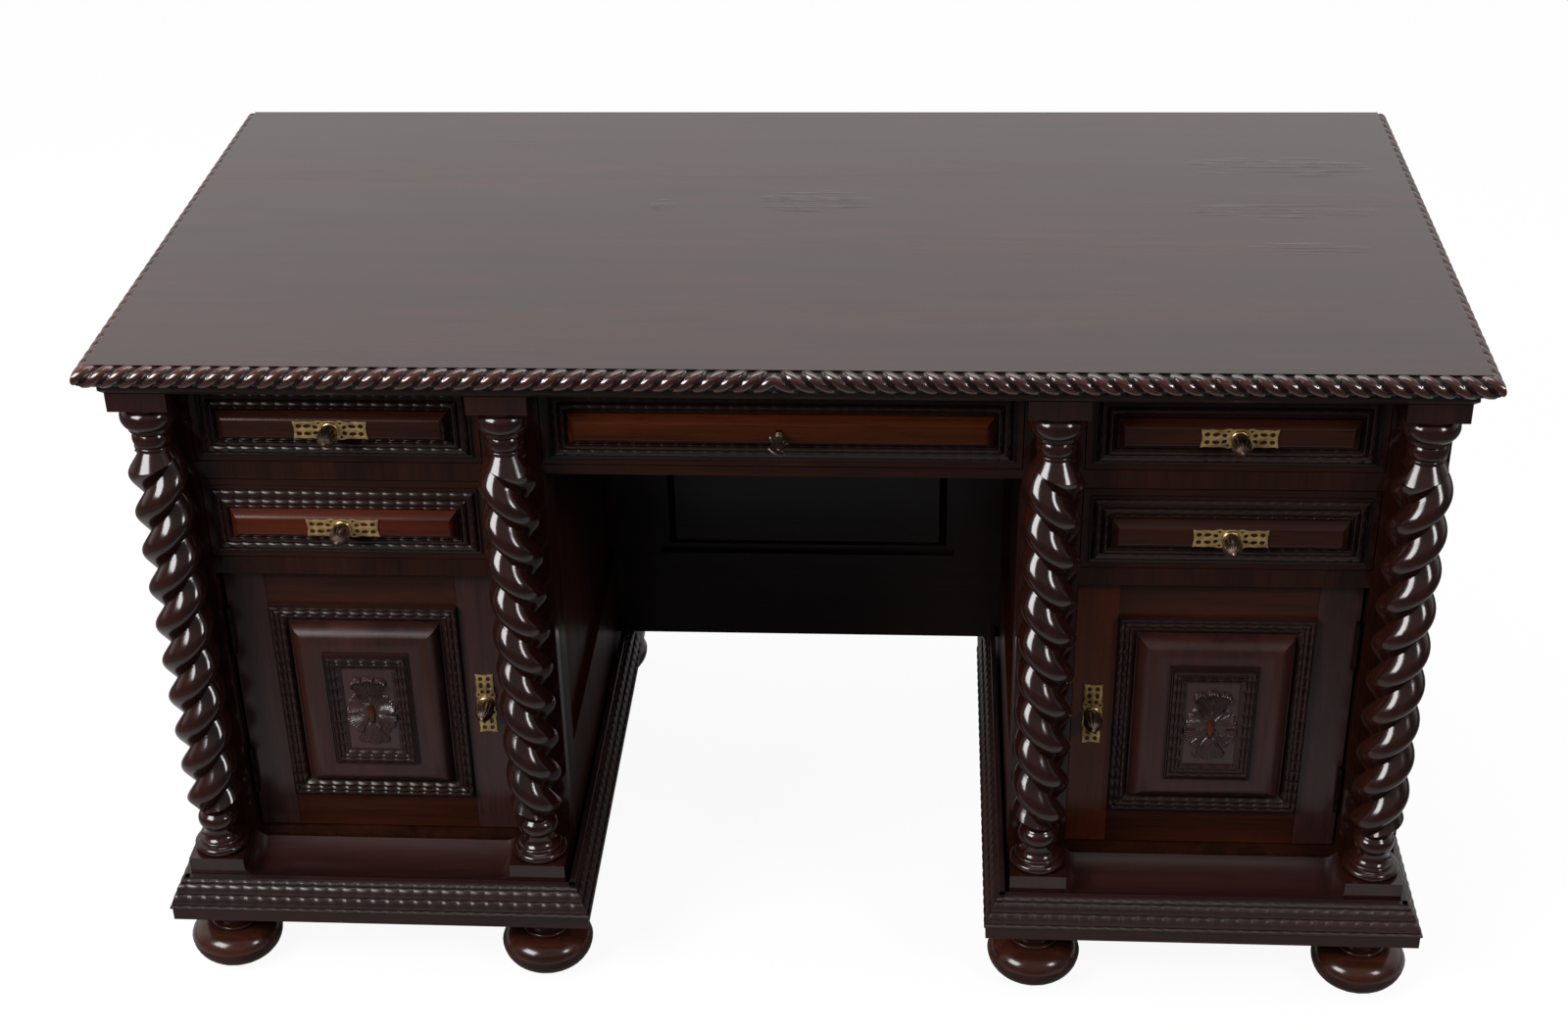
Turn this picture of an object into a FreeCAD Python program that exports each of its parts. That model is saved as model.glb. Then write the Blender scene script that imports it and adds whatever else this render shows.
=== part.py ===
import FreeCAD, Part
import math
import os

# A kneehole writing desk with twisted columns.
# Two pedestals stand on bun feet under one rope-edged top. Each pedestal has two drawers over
# a cupboard, a third drawer spans the kneehole, and a twisted column stands at each front corner.
# X runs to the right, Y to the back and Z up. The origin is on the floor under the desk's middle.

V = FreeCAD.Vector

# Whole desk
desk_width = 1420.0
desk_depth = 730.0
desk_height = 792.0
carcass_overhang = 23.0
back_overhang = 5.0
side_overhang = 24.0

# Top
board_thick = 25.0
rope_lip = 0.2
rope_clearance = 0.1
rope_crease_share = 0.75
rope_starts = 3
rope_lead = 60.0
subframe_thick = 13.0
subframe_width = 58.0
subframe_setback = 19.0
subframe_bevel = 5.0

# Pedestal and its openings
pedestal_width = 434.0
column_square = 63.0
panel_thick = 18.0
frame_thick = 20.0
top_rail = 14.5
middle_rail = 21.0
bottom_rail = 49.0
drawer_opening = 97.0
shelf_thick = 10.0
back_thick = 12.0
side_panel_recess = 9.0
side_rail_low = 142.0
side_rail_high = 122.0
side_stile = 63.0

# Plinth and feet
foot_height = 85.0
foot_radius = 53.0
base_plate_thick = 15.0
plinth_projection = 22.0
plinth_inner_projection = 26.0
ripple_rise = 35.0
ripple_depth = 16.0
cove_rise = 9.0
cove_sag = 9.0

# Columns
base_block = 57.0
base_turning = 53.0
capital_turning = 56.0
capital_block = 21.0
twist_lead = 94.0
twist_starts = 2
twist_radius = 31.0
twist_crease_radius = 18.0
twist_run_in = 20.0
twist_phase = 38.3
twist_neck_relief = 0.4

# Drawers
running_gap = 1.0
runner_gap = 0.3
front_thick = 20.0
box_wall = 12.0
box_floor = 6.0
box_floor_lift = 5.0
box_side_gap = 1.0
box_height = 80.0
drawer_back_gap = 60.0
centre_back_gap = 34.0
ripple_proud = 9.0
drawer_ripple_proud = 10.0
drawer_ripple_edge_share = 0.25
ripple_band = 21.0
drawer_ripple_margin = 8.0
pillow_wall = 9.6
pillow_slope = 8.0
pillow_gap = 1.0
pillow_bevel = 8.0

# Doors
door_recess = 16.0
door_thick = 22.0
door_gap = 1.5
hinge_gap = 3.0
door_stile = 66.0
door_rail = 68.0
door_ripple_side_margin = 46.0
door_ripple_end_margin = 47.0
door_panel_thick = 12.0
door_field_rise = 26.0
field_side_share = 0.216
field_end_share = 0.153
plaque_thick = 5.0
plaque_width_share = 0.87
plaque_height_share = 0.86
inner_ripple_band_share = 0.205
inner_ripple_proud = 5.0

# Hinges
hinge_radius = 3.8
hinge_pin_radius = 1.8
hinge_bore_clearance = 0.06
hinge_height = 60.0
hinge_leaf_thick = 1.2
hinge_leaf_width = 18.0
hinge_end_margin = 50.0
hinge_knuckle_gap = 0.4
hinge_clearance = 0.3

# Pulls
plate_width = 78.0
plate_height = 22.0
plate_thick = 1.6
plate_hole_radius = 1.7
plate_hole_pitch = 10.0
collar_radius = 9.0
collar_thick = 3.0
knob_length = 34.0
knob_radius = 9.5
knob_flutes = 10
knob_flute_radius = 1.6
knob_flute_depth = 0.8
knob_flute_start_share = 0.33
knob_flute_length_share = 0.5

# Lock and key
lock_width = 60.0
lock_height = 40.0
lock_thick = 8.0
bolt_width = 18.0
bolt_thick = 5.0
bolt_height = 26.0
bolt_clearance = 0.5
key_radius = 2.4
key_clearance = 0.08
key_shank = 13.0
key_bow_length = 34.0
key_bow_width = 18.0
key_bow_thick = 2.2
key_hole_share = 0.2
key_hole_place_share = 0.22
key_bit_length = 7.0
key_bit_drop = 5.0
key_tilt = 20.0

# Kneehole
kneehole_rail = 11.0
runner_width = 22.0
modesty_setback = 145.0
modesty_thick = 18.0
modesty_lift = 18.0
modesty_stile = 61.0
modesty_recess = 8.0
modesty_bevel = 10.0

# Outline shares: height share, radius share, and the bulge of the arc that leads to the next point
capital_shares = [
    (0.00, 0.59, 0.00), (0.03, 0.59, 0.00), (0.04, 0.62, 0.02), (0.09, 0.62, 0.00), (0.10, 0.60, 0.07),
    (0.36, 0.60, 0.00), (0.37, 0.57, 0.00), (0.41, 0.57, 0.00), (0.42, 0.73, 0.00), (0.48, 0.74, 0.21),
    (0.92, 0.74, 0.00), (0.93, 0.87, 0.00), (1.00, 0.87, 0.00)]
base_shares = [
    (0.00, 0.84, 0.14), (0.18, 0.84, 0.00), (0.20, 0.78, 0.04), (0.28, 0.76, 0.00), (0.29, 0.70, -0.05),
    (0.49, 0.55, 0.00), (0.53, 0.55, 0.00), (0.55, 0.57, 0.15), (0.92, 0.57, 0.00), (0.94, 0.54, 0.00),
    (1.00, 0.59, 0.00)]
foot_shares = [
    (0.00, 0.42, 0.21), (0.35, 1.00, 0.18), (0.55, 0.50, 0.02), (0.60, 0.50, 0.00), (0.61, 0.44, 0.00),
    (1.00, 0.44, 0.00)]
knob_shares = [
    (0.00, 0.42, 0.00), (0.16, 0.42, 0.00), (0.20, 0.80, 0.03), (0.32, 0.80, 0.00), (0.34, 0.62, 0.12),
    (0.62, 0.98, 0.10), (0.90, 0.46, 0.00), (0.93, 0.40, 0.10)]

# Places worked out from the sizes above
half_width = desk_width / 2
half_depth = desk_depth / 2
rope_radius = board_thick / 2 - rope_lip
board_low = desk_height - board_thick
carcass_top = board_low - subframe_thick
outer_face = half_width - side_overhang
inner_face = outer_face - pedestal_width
pedestal_middle = (outer_face + inner_face) / 2
block_front = carcass_overhang - half_depth
carcass_front = block_front + column_square
carcass_back = half_depth - back_overhang
opening_inner = inner_face + column_square
opening_outer = outer_face - column_square
plate_low = foot_height
pillow_rise = pillow_wall + pillow_slope
plate_high = foot_height + base_plate_thick
plinth_front = block_front - plinth_projection
plinth_inner = inner_face - plinth_inner_projection
plinth_outer = outer_face + plinth_projection
column_y = block_front + column_square / 2
column_inner_x = inner_face + column_square / 2
column_outer_x = outer_face - column_square / 2
base_block_top = plate_high + base_block
twist_low = base_block_top + base_turning
capital_low = carcass_top - capital_block
twist_high = capital_low - capital_turning
side_panel_low = plate_high + side_rail_low
side_panel_high = carcass_top - side_rail_high
upper_top = carcass_top - top_rail
upper_low = upper_top - drawer_opening
lower_top = upper_low - middle_rail
lower_low = lower_top - drawer_opening
door_top = lower_low - middle_rail
door_low = plate_high + bottom_rail
frame_back = carcass_front + frame_thick
back_front = carcass_back - back_thick
modesty_front = carcass_back - modesty_setback
modesty_low = plate_high + modesty_lift
box_length = back_front - drawer_back_gap - frame_back
centre_box_length = modesty_front - centre_back_gap - frame_back
overrun = board_thick


def box(x0, x1, y0, y1, z0, z1):
    return Part.makeBox(x1 - x0, y1 - y0, z1 - z0, V(x0, y0, z0))


def mirrored(shape):
    return shape.mirror(V(0, 0, 0), V(1, 0, 0))


def prism(points, way):
    wire = Part.makePolygon(points + [points[0]])
    return Part.Face(wire).extrude(way)


def rectangle(x0, x1, y, z0, z1):
    corners = [V(x0, y, z0), V(x1, y, z0), V(x1, y, z1), V(x0, y, z1)]
    return Part.makePolygon(corners + [corners[0]])


def raised(x0, x1, z0, z1, y_low, y_high, slope_x, slope_z):
    # A block whose four sides slope in by slope_x and slope_z on the way from y_low to y_high.
    low = rectangle(x0, x1, y_low, z0, z1)
    high = rectangle(x0 + slope_x, x1 - slope_x, y_high, z0 + slope_z, z1 - slope_z)
    return Part.makeLoft([low, high], True, True)


def turned(shares, length, radius):
    # Revolves a profile of lines and shallow arcs about Z, from z zero up to length.
    points = [V(share * radius, 0, height * length) for height, share, bulge in shares]
    edges = [Part.makeLine(V(0, 0, points[0].z), points[0])]
    for index in range(len(points) - 1):
        start, end = points[index], points[index + 1]
        bulge = shares[index][2] * radius
        if bulge == 0:
            edges.append(Part.makeLine(start, end))
        else:
            middle = (start + end) * 0.5 + V(bulge, 0, 0)
            edges.append(Part.Arc(start, middle, end).toShape())
    edges.append(Part.makeLine(points[-1], V(0, 0, points[-1].z)))
    edges.append(Part.makeLine(V(0, 0, points[-1].z), V(0, 0, points[0].z)))
    return Part.Face(Part.Wire(edges)).revolve(V(0, 0, 0), V(0, 0, 1), 360)


def lobed_wire(starts, outer, crease):
    # Circular lobes that meet in creases, as the strands of a twist do in cross-section.
    half_turn = math.pi / starts
    offset = (outer ** 2 - crease ** 2) / (2 * (outer - crease * math.cos(half_turn)))
    lobe = outer - offset
    reach = math.atan2(crease * math.sin(half_turn), crease * math.cos(half_turn) - offset)
    edges = []
    for index in range(starts):
        turn = FreeCAD.Rotation(V(0, 0, 1), math.degrees(2 * half_turn * index))
        marks = []
        for share in (-1, -0.5, 0, 0.5, 1):
            angle = reach * share
            point = V(offset + lobe * math.cos(angle), lobe * math.sin(angle), 0)
            marks.append(turn.multVec(point))
        edges.append(Part.Arc(marks[0], marks[1], marks[2]).toShape())
        edges.append(Part.Arc(marks[2], marks[3], marks[4]).toShape())
    return Part.Wire(edges)


def twisted_rod(starts, outer, crease, lead, length, left_handed):
    spine = Part.Wire([Part.makeLine(V(0, 0, 0), V(0, 0, length))])
    guide = Part.Wire(Part.makeHelix(lead, length, outer, 0, left_handed).Edges)
    sweep = Part.BRepOffsetAPI.MakePipeShell(spine)
    sweep.setAuxiliarySpine(guide, True, 0)
    sweep.add(lobed_wire(starts, outer, crease))
    sweep.build()
    sweep.makeSolid()
    return sweep.shape()


def top_board():
    edge_x = half_width - rope_radius
    edge_y = rope_radius - half_depth
    board = box(-edge_x, edge_x, edge_y, half_depth, board_low, desk_height)
    middle = board_low + board_thick / 2
    groove = rope_radius + rope_clearance
    for x in (-edge_x, edge_x):
        start = V(x, -half_depth, middle)
        board = board.cut(Part.makeCylinder(groove, desk_depth + overrun, start, V(0, 1, 0)))
    start = V(-half_width, edge_y, middle)
    return board.cut(Part.makeCylinder(groove, desk_width, start, V(1, 0, 0)))


def mitre(keep_front):
    # The wedge that trims a rope at the right front corner.
    reach = 2 * board_thick
    x = half_width - rope_radius
    y = rope_radius - half_depth
    low = board_low - overrun
    lift = V(0, 0, board_thick + 2 * overrun)
    corner = V(x + reach, y - reach, low)
    inside = V(x - reach, y + reach, low)
    if keep_front:
        third = V(x + reach, y + reach, low)
    else:
        third = V(x - reach, y - reach, low)
    return prism([corner, inside, third], lift)


def rope_edge():
    # Four carved lengths: the two front ones twist opposite ways from the middle, the sides run back.
    crease = rope_radius * rope_crease_share
    front = twisted_rod(rope_starts, rope_radius, crease, rope_lead, half_width, False)
    front.rotate(V(0, 0, 0), V(0, 1, 0), 90)
    run = twisted_rod(rope_starts, rope_radius, crease, rope_lead, desk_depth, True)
    run.rotate(V(0, 0, 0), V(1, 0, 0), -90)
    axis_z = board_low + board_thick / 2
    front.translate(V(0, rope_radius - half_depth, axis_z))
    run.translate(V(half_width - rope_radius, -half_depth, axis_z))
    lengths = [front.cut(mitre(True)), run.cut(mitre(False))]
    return lengths + [mirrored(length) for length in lengths]


def top_subframe():
    # Bevelled lengths between the top board and the pedestals; the bevel shows under the rope.
    x = half_width - subframe_setback
    y = subframe_setback - half_depth
    bevel_top = carcass_top + subframe_bevel

    def slab(inset, z0, z1):
        return box(inset - x, x - inset, y + inset, carcass_back, z0, z1)

    upper = slab(0, bevel_top, board_low)
    low_wire = Part.makePolygon([V(subframe_bevel - x, y + subframe_bevel, carcass_top),
                                 V(x - subframe_bevel, y + subframe_bevel, carcass_top),
                                 V(x - subframe_bevel, carcass_back, carcass_top),
                                 V(subframe_bevel - x, carcass_back, carcass_top),
                                 V(subframe_bevel - x, y + subframe_bevel, carcass_top)])
    high_wire = Part.makePolygon([V(-x, y, bevel_top), V(x, y, bevel_top), V(x, carcass_back, bevel_top),
                                  V(-x, carcass_back, bevel_top), V(-x, y, bevel_top)])
    body = upper.fuse(Part.makeLoft([low_wire, high_wire], True, True)).removeSplitter()
    front_inner = frame_back
    back_inner = carcass_back - subframe_width
    side_inner = x - subframe_width
    front = body.common(box(-half_width, half_width, -half_depth, front_inner, 0, desk_height))
    back = body.common(box(-half_width, half_width, back_inner, half_depth, 0, desk_height))
    right = body.common(box(side_inner, half_width, front_inner, back_inner, 0, desk_height))
    left = body.common(box(-half_width, -side_inner, front_inner, back_inner, 0, desk_height))
    pieces = [front, back, right, left]
    for edge in (inner_face, -inner_face - panel_thick):
        pieces.append(box(edge, edge + panel_thick, front_inner, back_inner, carcass_top, board_low))
    return pieces


def side_wall(outside_x, outward):
    # A frame round one recessed panel. outward is 1 when the wall's show face looks towards +X.
    inside_x = outside_x - outward * panel_thick
    x0, x1 = min(inside_x, outside_x), max(inside_x, outside_x)
    window_front = carcass_front + side_stile
    window_back = modesty_front
    frame = box(x0, x1, frame_back, back_front, plate_high, carcass_top)
    frame = frame.cut(box(x0 - overrun, x1 + overrun, window_front, window_back,
                          side_panel_low, side_panel_high))
    panel_x = outside_x - outward * side_panel_recess
    p0, p1 = min(inside_x, panel_x), max(inside_x, panel_x)
    panel = box(p0, p1, window_front, window_back, side_panel_low, side_panel_high)
    return [frame, panel]


def carcass_boards():
    # Dust boards, cupboard floor and top, and the strips that guide the narrower drawers.
    x0 = inner_face + panel_thick
    x1 = outer_face - panel_thick
    boards = [box(x0, x1, frame_back, back_front, carcass_top - shelf_thick, carcass_top)]
    for level in (upper_low, lower_low, door_low):
        boards.append(box(x0, x1, frame_back, back_front, level - shelf_thick, level))
    for level in (upper_low, lower_low):
        boards.append(box(x0, opening_inner, frame_back, back_front, level, level + middle_rail))
        boards.append(box(opening_outer, x1, frame_back, back_front, level, level + middle_rail))
    return boards


def face_frame():
    stiles = []
    for x0, x1 in ((inner_face, opening_inner), (opening_outer, outer_face)):
        stiles.append(box(x0, x1, carcass_front, frame_back, plate_high, carcass_top))
    rails = []
    for z0, z1 in ((upper_top, carcass_top), (lower_top, upper_low), (door_top, lower_low),
                   (plate_high, door_low)):
        rails.append(box(opening_inner, opening_outer, carcass_front, frame_back, z0, z1))
    return stiles + rails


def base_plate():
    return box(plinth_inner, plinth_outer, plinth_front, carcass_back, plate_low, plate_high)


def plinth_mouldings():
    # Sloping ripple lengths, mitred at the front corners, and the hollow cove between the columns.
    top = plate_high + ripple_rise
    slope = ripple_depth
    front = prism([V(plinth_inner, plinth_front, plate_high), V(plinth_inner, block_front, plate_high),
                   V(plinth_inner, block_front, top), V(plinth_inner, plinth_front + slope, top)],
                  V(plinth_outer - plinth_inner, 0, 0))
    outer = prism([V(plinth_outer, plinth_front, plate_high), V(outer_face, plinth_front, plate_high),
                   V(outer_face, plinth_front, top), V(plinth_outer - slope, plinth_front, top)],
                  V(0, carcass_back - plinth_front, 0))
    inner = prism([V(plinth_inner, plinth_front, plate_high), V(inner_face, plinth_front, plate_high),
                   V(inner_face, plinth_front, top), V(plinth_inner + slope, plinth_front, top)],
                  V(0, modesty_front - plinth_front, 0))
    lift = V(0, 0, 2 * ripple_rise)
    low = plate_high - ripple_rise / 2
    for corner_x, side in ((plinth_inner, 1), (plinth_outer, -1)):
        corner = V(corner_x - side * overrun, plinth_front - overrun, low)
        inside = V(corner_x + side * plinth_projection, block_front, low)
        beside = V(corner_x - side * overrun, block_front, low)
        reach = corner_x + side * (plinth_inner_projection + overrun)
        level, before = V(reach, block_front, low), V(reach, plinth_front - overrun, low)
        front = front.cut(prism([corner, inside, beside], lift))
        wedge = prism([corner, inside, level, before], lift)
        if side > 0:
            inner = inner.cut(wedge)
        else:
            outer = outer.cut(wedge)
    return [front, outer, inner, cove()]


def cove():
    # The hollow between the column blocks, falling from the face frame to the ripple.
    start = V(opening_inner, block_front, plate_high + ripple_rise)
    back = V(opening_inner, carcass_front, plate_high + ripple_rise + cove_rise)
    middle = (back + start) * 0.5 - V(0, 0, cove_sag)
    low_front = V(opening_inner, block_front, plate_high)
    low_back = V(opening_inner, carcass_front, plate_high)
    edges = [Part.Arc(start, middle, back).toShape(), Part.makeLine(back, low_back),
             Part.makeLine(low_back, low_front), Part.makeLine(low_front, start)]
    return Part.Face(Part.Wire(edges)).extrude(V(opening_outer - opening_inner, 0, 0))


def column(x, left_handed):
    # One turned and carved piece: square block, turned base, twist, turned capital, square block.
    half = column_square / 2
    blocks = [box(-half, half, -half, half, plate_high, base_block_top),
              box(-half, half, -half, half, capital_low, carcass_top)]
    base = turned(base_shares, twist_low - base_block_top, column_square / 2)
    base.translate(V(0, 0, base_block_top))
    capital = turned(capital_shares, capital_low - twist_high, column_square / 2)
    capital.translate(V(0, 0, twist_high))
    length = twist_high - twist_low
    rod = twisted_rod(twist_starts, twist_radius, twist_crease_radius, twist_lead, length, left_handed)
    neck = twist_crease_radius + twist_neck_relief
    full = twist_radius + twist_neck_relief
    end = length - twist_run_in
    points = [V(0, 0, 0), V(neck, 0, 0), V(full, 0, twist_run_in), V(full, 0, end), V(neck, 0, length),
              V(0, 0, length)]
    envelope = Part.Face(Part.makePolygon(points + [points[0]])).revolve(V(0, 0, 0), V(0, 0, 1), 360)
    rod = rod.common(envelope)
    rod.rotate(V(0, 0, 0), V(0, 0, 1), twist_phase if left_handed else -twist_phase)
    rod.translate(V(0, 0, twist_low))
    whole = blocks[0].fuse([base, rod, capital, blocks[1]])
    whole.translate(V(x, column_y, 0))
    return whole


def feet():
    # A bun under each column, and two more under the back of each pedestal.
    buns = []
    for side in (-1, 1):
        for x in (column_inner_x, column_outer_x):
            for y in (column_y, carcass_back - foot_radius):
                bun = turned(foot_shares, foot_height, foot_radius)
                bun.translate(V(side * x, y, 0))
                buns.append(bun)
    return buns


def back_panel():
    return box(inner_face, outer_face, back_front, carcass_back, plate_high, carcass_top)


def drawer_box(x0, x1, level, length):
    # Two sides, a back and a floor; the front board closes the box.
    y0 = frame_back
    y1 = y0 + length
    low = level + runner_gap
    high = low + box_height
    floor_low = low + box_floor_lift
    sides = [box(x0, x0 + box_wall, y0, y1, low, high), box(x1 - box_wall, x1, y0, y1, low, high)]
    back = box(x0 + box_wall, x1 - box_wall, y1 - box_wall, y1, low, high)
    floor = box(x0 + box_wall, x1 - box_wall, y0, y1 - box_wall, floor_low, floor_low + box_floor)
    return sides + [back, floor]


def drawer_front(x0, x1, level):
    low = level + running_gap
    high = level + drawer_opening - running_gap
    inset = drawer_ripple_margin + ripple_band + pillow_gap
    front = box(x0, x1, carcass_front, carcass_front + front_thick, low, high)
    wall = carcass_front - pillow_wall
    block = box(x0 + inset, x1 - inset, wall, carcass_front, low + inset, high - inset)
    pillow = raised(x0 + inset, x1 - inset, low + inset, high - inset, wall,
                    carcass_front - pillow_rise, pillow_bevel, pillow_bevel)
    return front.fuse([block, pillow])


def ripple_frame(x0, x1, z0, z1, y, proud, band):
    # Four mitred lengths with a rounded back, standing proud of the face at y.
    pieces = []
    corners = [(x0, z0), (x1, z0), (x1, z1), (x0, z1)]
    inner = [(x0 + band, z0 + band), (x1 - band, z0 + band), (x1 - band, z1 - band), (x0 + band, z1 - band)]
    for index in range(len(corners)):
        follow = (index + 1) % len(corners)
        ring = [corners[index], corners[follow], inner[follow], inner[index]]
        pieces.append(prism([V(x, y, z) for x, z in ring], V(0, -proud, 0)))
    return pieces


def moulded_frame(x0, x1, z0, z1, y, proud, band):
    # The four lengths of a ripple frame, each sloping down to its inner edge.
    pieces = ripple_frame(x0, x1, z0, z1, y, proud, band)
    half = band / 2
    hollow = raised(x0 + half, x1 - half, z0 + half, z1 - half, y - proud, y - proud / 2, half, half)
    return [piece.cut(hollow) for piece in pieces]


def rising_frame(x0, x1, z0, z1, y, proud, band):
    # The four lengths of a drawer's ripple frame, each climbing towards the field inside it.
    pieces = ripple_frame(x0, x1, z0, z1, y, proud, band)
    edge = y - drawer_ripple_edge_share * proud
    limit = box(x0, x1, edge, y, z0, z1).fuse(raised(x0, x1, z0, z1, edge, y - proud, band, band))
    return [piece.common(limit) for piece in pieces]


def plate(upright, x, y, z):
    width = plate_height if upright else plate_width
    height = plate_width if upright else plate_height
    sheet = box(-width / 2, width / 2, -plate_thick, 0, -height / 2, height / 2)
    count = int(plate_width / plate_hole_pitch) - 1
    for index in range(count):
        along = (index - (count - 1) / 2) * plate_hole_pitch
        for across in (-plate_height / 4, plate_height / 4):
            if abs(along) < collar_radius:
                continue
            place = V(across, 0, along) if upright else V(along, 0, across)
            start = place - V(0, plate_thick + plate_hole_radius, 0)
            hole = Part.makeCylinder(plate_hole_radius, plate_thick + 2 * plate_hole_radius, start, V(0, 1, 0))
            sheet = sheet.cut(hole)
    sheet.translate(V(x, y, z))
    return sheet


def knob(x, y, z):
    # A round collar and a fluted acorn on a stem, pointing to the front.
    acorn = turned(knob_shares, knob_length, knob_radius)
    for index in range(knob_flutes):
        angle = 2 * math.pi * index / knob_flutes
        reach = knob_radius + knob_flute_radius - knob_flute_depth
        start = V(reach * math.cos(angle), reach * math.sin(angle), knob_flute_start_share * knob_length)
        length = knob_flute_length_share * knob_length
        acorn = acorn.cut(Part.makeCylinder(knob_flute_radius, length, start, V(0, 0, 1)))
    collar = Part.makeCylinder(collar_radius, collar_thick)
    whole = collar.fuse(acorn)
    whole.rotate(V(0, 0, 0), V(1, 0, 0), 90)
    whole.translate(V(x, y, z))
    return whole


def pull(upright, x, y, z):
    return [plate(upright, x, y, z), knob(x, y - plate_thick, z)]


def door_limits():
    return opening_inner + door_gap, opening_outer - hinge_gap, door_low + door_gap, door_top - door_gap


def door_frame():
    x0, x1, z0, z1 = door_limits()
    y0 = carcass_front + door_recess
    y1 = y0 + door_thick
    pieces = [box(x0, x0 + door_stile, y0, y1, z0, z1), box(x1 - door_stile, x1, y0, y1, z0, z1)]
    for low, high in ((z0, z0 + door_rail), (z1 - door_rail, z1)):
        pieces.append(box(x0 + door_stile, x1 - door_stile, y0, y1, low, high))
    return pieces


def door_panel_limits():
    # The opening in the door's frame, and how far the field's border reaches into it.
    x0, x1, z0, z1 = door_limits()
    width = x1 - x0 - 2 * door_stile
    height = z1 - z0 - 2 * door_rail
    limits = x0 + door_stile, x1 - door_stile, z0 + door_rail, z1 - door_rail
    return limits, field_side_share * width, field_end_share * height


def door_panel():
    # A raised field whose sides slope up to a flat plateau, on a board behind the frame's opening.
    (x0, x1, z0, z1), slope_x, slope_z = door_panel_limits()
    y0 = carcass_front + door_recess
    board = box(x0, x1, y0, y0 + door_panel_thick, z0, z1)
    field = raised(x0, x1, z0, z1, y0, y0 - door_field_rise + ripple_proud, slope_x, slope_z)
    return board.fuse(field)


def door_plateau():
    (x0, x1, z0, z1), slope_x, slope_z = door_panel_limits()
    y = carcass_front + door_recess - door_field_rise + ripple_proud
    return x0 + slope_x, x1 - slope_x, z0 + slope_z, z1 - slope_z, y


def door_ripples():
    x0, x1, z0, z1 = door_limits()
    y = carcass_front + door_recess
    outer = moulded_frame(x0 + door_ripple_side_margin, x1 - door_ripple_side_margin,
                          z0 + door_ripple_end_margin, z1 - door_ripple_end_margin,
                          y, ripple_proud, door_stile - door_ripple_side_margin)
    p0, p1, q0, q1, py = door_plateau()
    inner = moulded_frame(p0, p1, q0, q1, py, inner_ripple_proud, inner_ripple_band_share * (p1 - p0))
    return outer + inner


def door_plaque():
    p0, p1, q0, q1, py = door_plateau()
    x, z = (p0 + p1) / 2, (q0 + q1) / 2
    band = inner_ripple_band_share * (p1 - p0)
    half_w = plaque_width_share * ((p1 - p0) / 2 - band)
    half_h = plaque_height_share * ((q1 - q0) / 2 - band)
    return raised(x - half_w, x + half_w, z - half_h, z + half_h, py, py - plaque_thick,
                  plaque_thick / 2, plaque_thick / 2)


def hinge_axis():
    x = opening_outer - hinge_clearance - hinge_radius
    y = carcass_front + door_recess - hinge_clearance - hinge_radius
    return x, y


def hinge_levels():
    x0, x1, z0, z1 = door_limits()
    return z0 + hinge_end_margin, z1 - hinge_end_margin - hinge_height


def hinges(moving):
    # Butt hinges: the fixed leaf carries the middle knuckle, the moving leaf the end knuckles and pin.
    x, y = hinge_axis()
    x0, x1, z0, z1 = door_limits()
    knuckle = hinge_height / 3
    face = carcass_front + door_recess
    pieces = []
    for level in hinge_levels():
        if moving:
            leaf = box(x1, x1 + hinge_leaf_thick, face, face + hinge_leaf_width, level, level + hinge_height)
            strap = box(x, x1 + hinge_leaf_thick, y, face, level, level + hinge_height)
            middle = box(x - hinge_radius - overrun, x1 + overrun, y - hinge_radius - overrun, face,
                         level + knuckle, level + 2 * knuckle)
            body = leaf.fuse(strap.cut(middle))
            for low in (level, level + 2 * knuckle):
                body = body.fuse(Part.makeCylinder(hinge_radius, knuckle, V(x, y, low)))
            body = body.fuse(Part.makeCylinder(hinge_pin_radius, hinge_height, V(x, y, level)))
        else:
            low = level + knuckle + hinge_knuckle_gap
            height = knuckle - 2 * hinge_knuckle_gap
            leaf_x = opening_outer - hinge_leaf_thick
            leaf = box(leaf_x, opening_outer, y, face + hinge_leaf_width, low, low + height)
            barrel = Part.makeCylinder(hinge_radius, height, V(x, y, low))
            bore = Part.makeCylinder(hinge_pin_radius + hinge_bore_clearance, height, V(x, y, low))
            tab = box(x, opening_outer, y, y + hinge_leaf_thick, low, low + height)
            body = leaf.fuse([barrel, tab]).cut(bore)
        pieces.append(body)
    return pieces


def centre_drawer_frame():
    # Rails over and under the middle drawer, and the runners under its sides.
    x = inner_face
    low = upper_low - kneehole_rail
    over = box(-x, x, carcass_front, frame_back, upper_top, carcass_top)
    slot_x = bolt_width / 2 + bolt_clearance
    slot_y = frame_back - lock_thick / 2
    half_slot = bolt_thick / 2 + bolt_clearance
    over = over.cut(box(-slot_x, slot_x, slot_y - half_slot, slot_y + half_slot,
                        upper_top - overrun, carcass_top + overrun))
    under = box(-x, x, carcass_front, frame_back, low, upper_low)
    runners = []
    for side in (-1, 1):
        x0, x1 = sorted((side * x, side * (x - runner_width)))
        runners.append(box(x0, x1, frame_back, modesty_front, low, upper_low))
    return [over, under] + runners


def centre_front():
    x = inner_face - running_gap
    front = drawer_front(-x, x, upper_low)
    z = lock_level()
    bore = Part.makeCylinder(key_radius + key_clearance, front_thick + 2 * pillow_rise,
                             V(0, carcass_front - pillow_rise - key_clearance, z), V(0, 1, 0))
    pocket = box(-lock_width / 2, lock_width / 2, frame_back - lock_thick, frame_back,
                 z - lock_height / 2, upper_top)
    return front.cut([bore, pocket])


def lock_level():
    return upper_low + drawer_opening / 2


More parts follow.
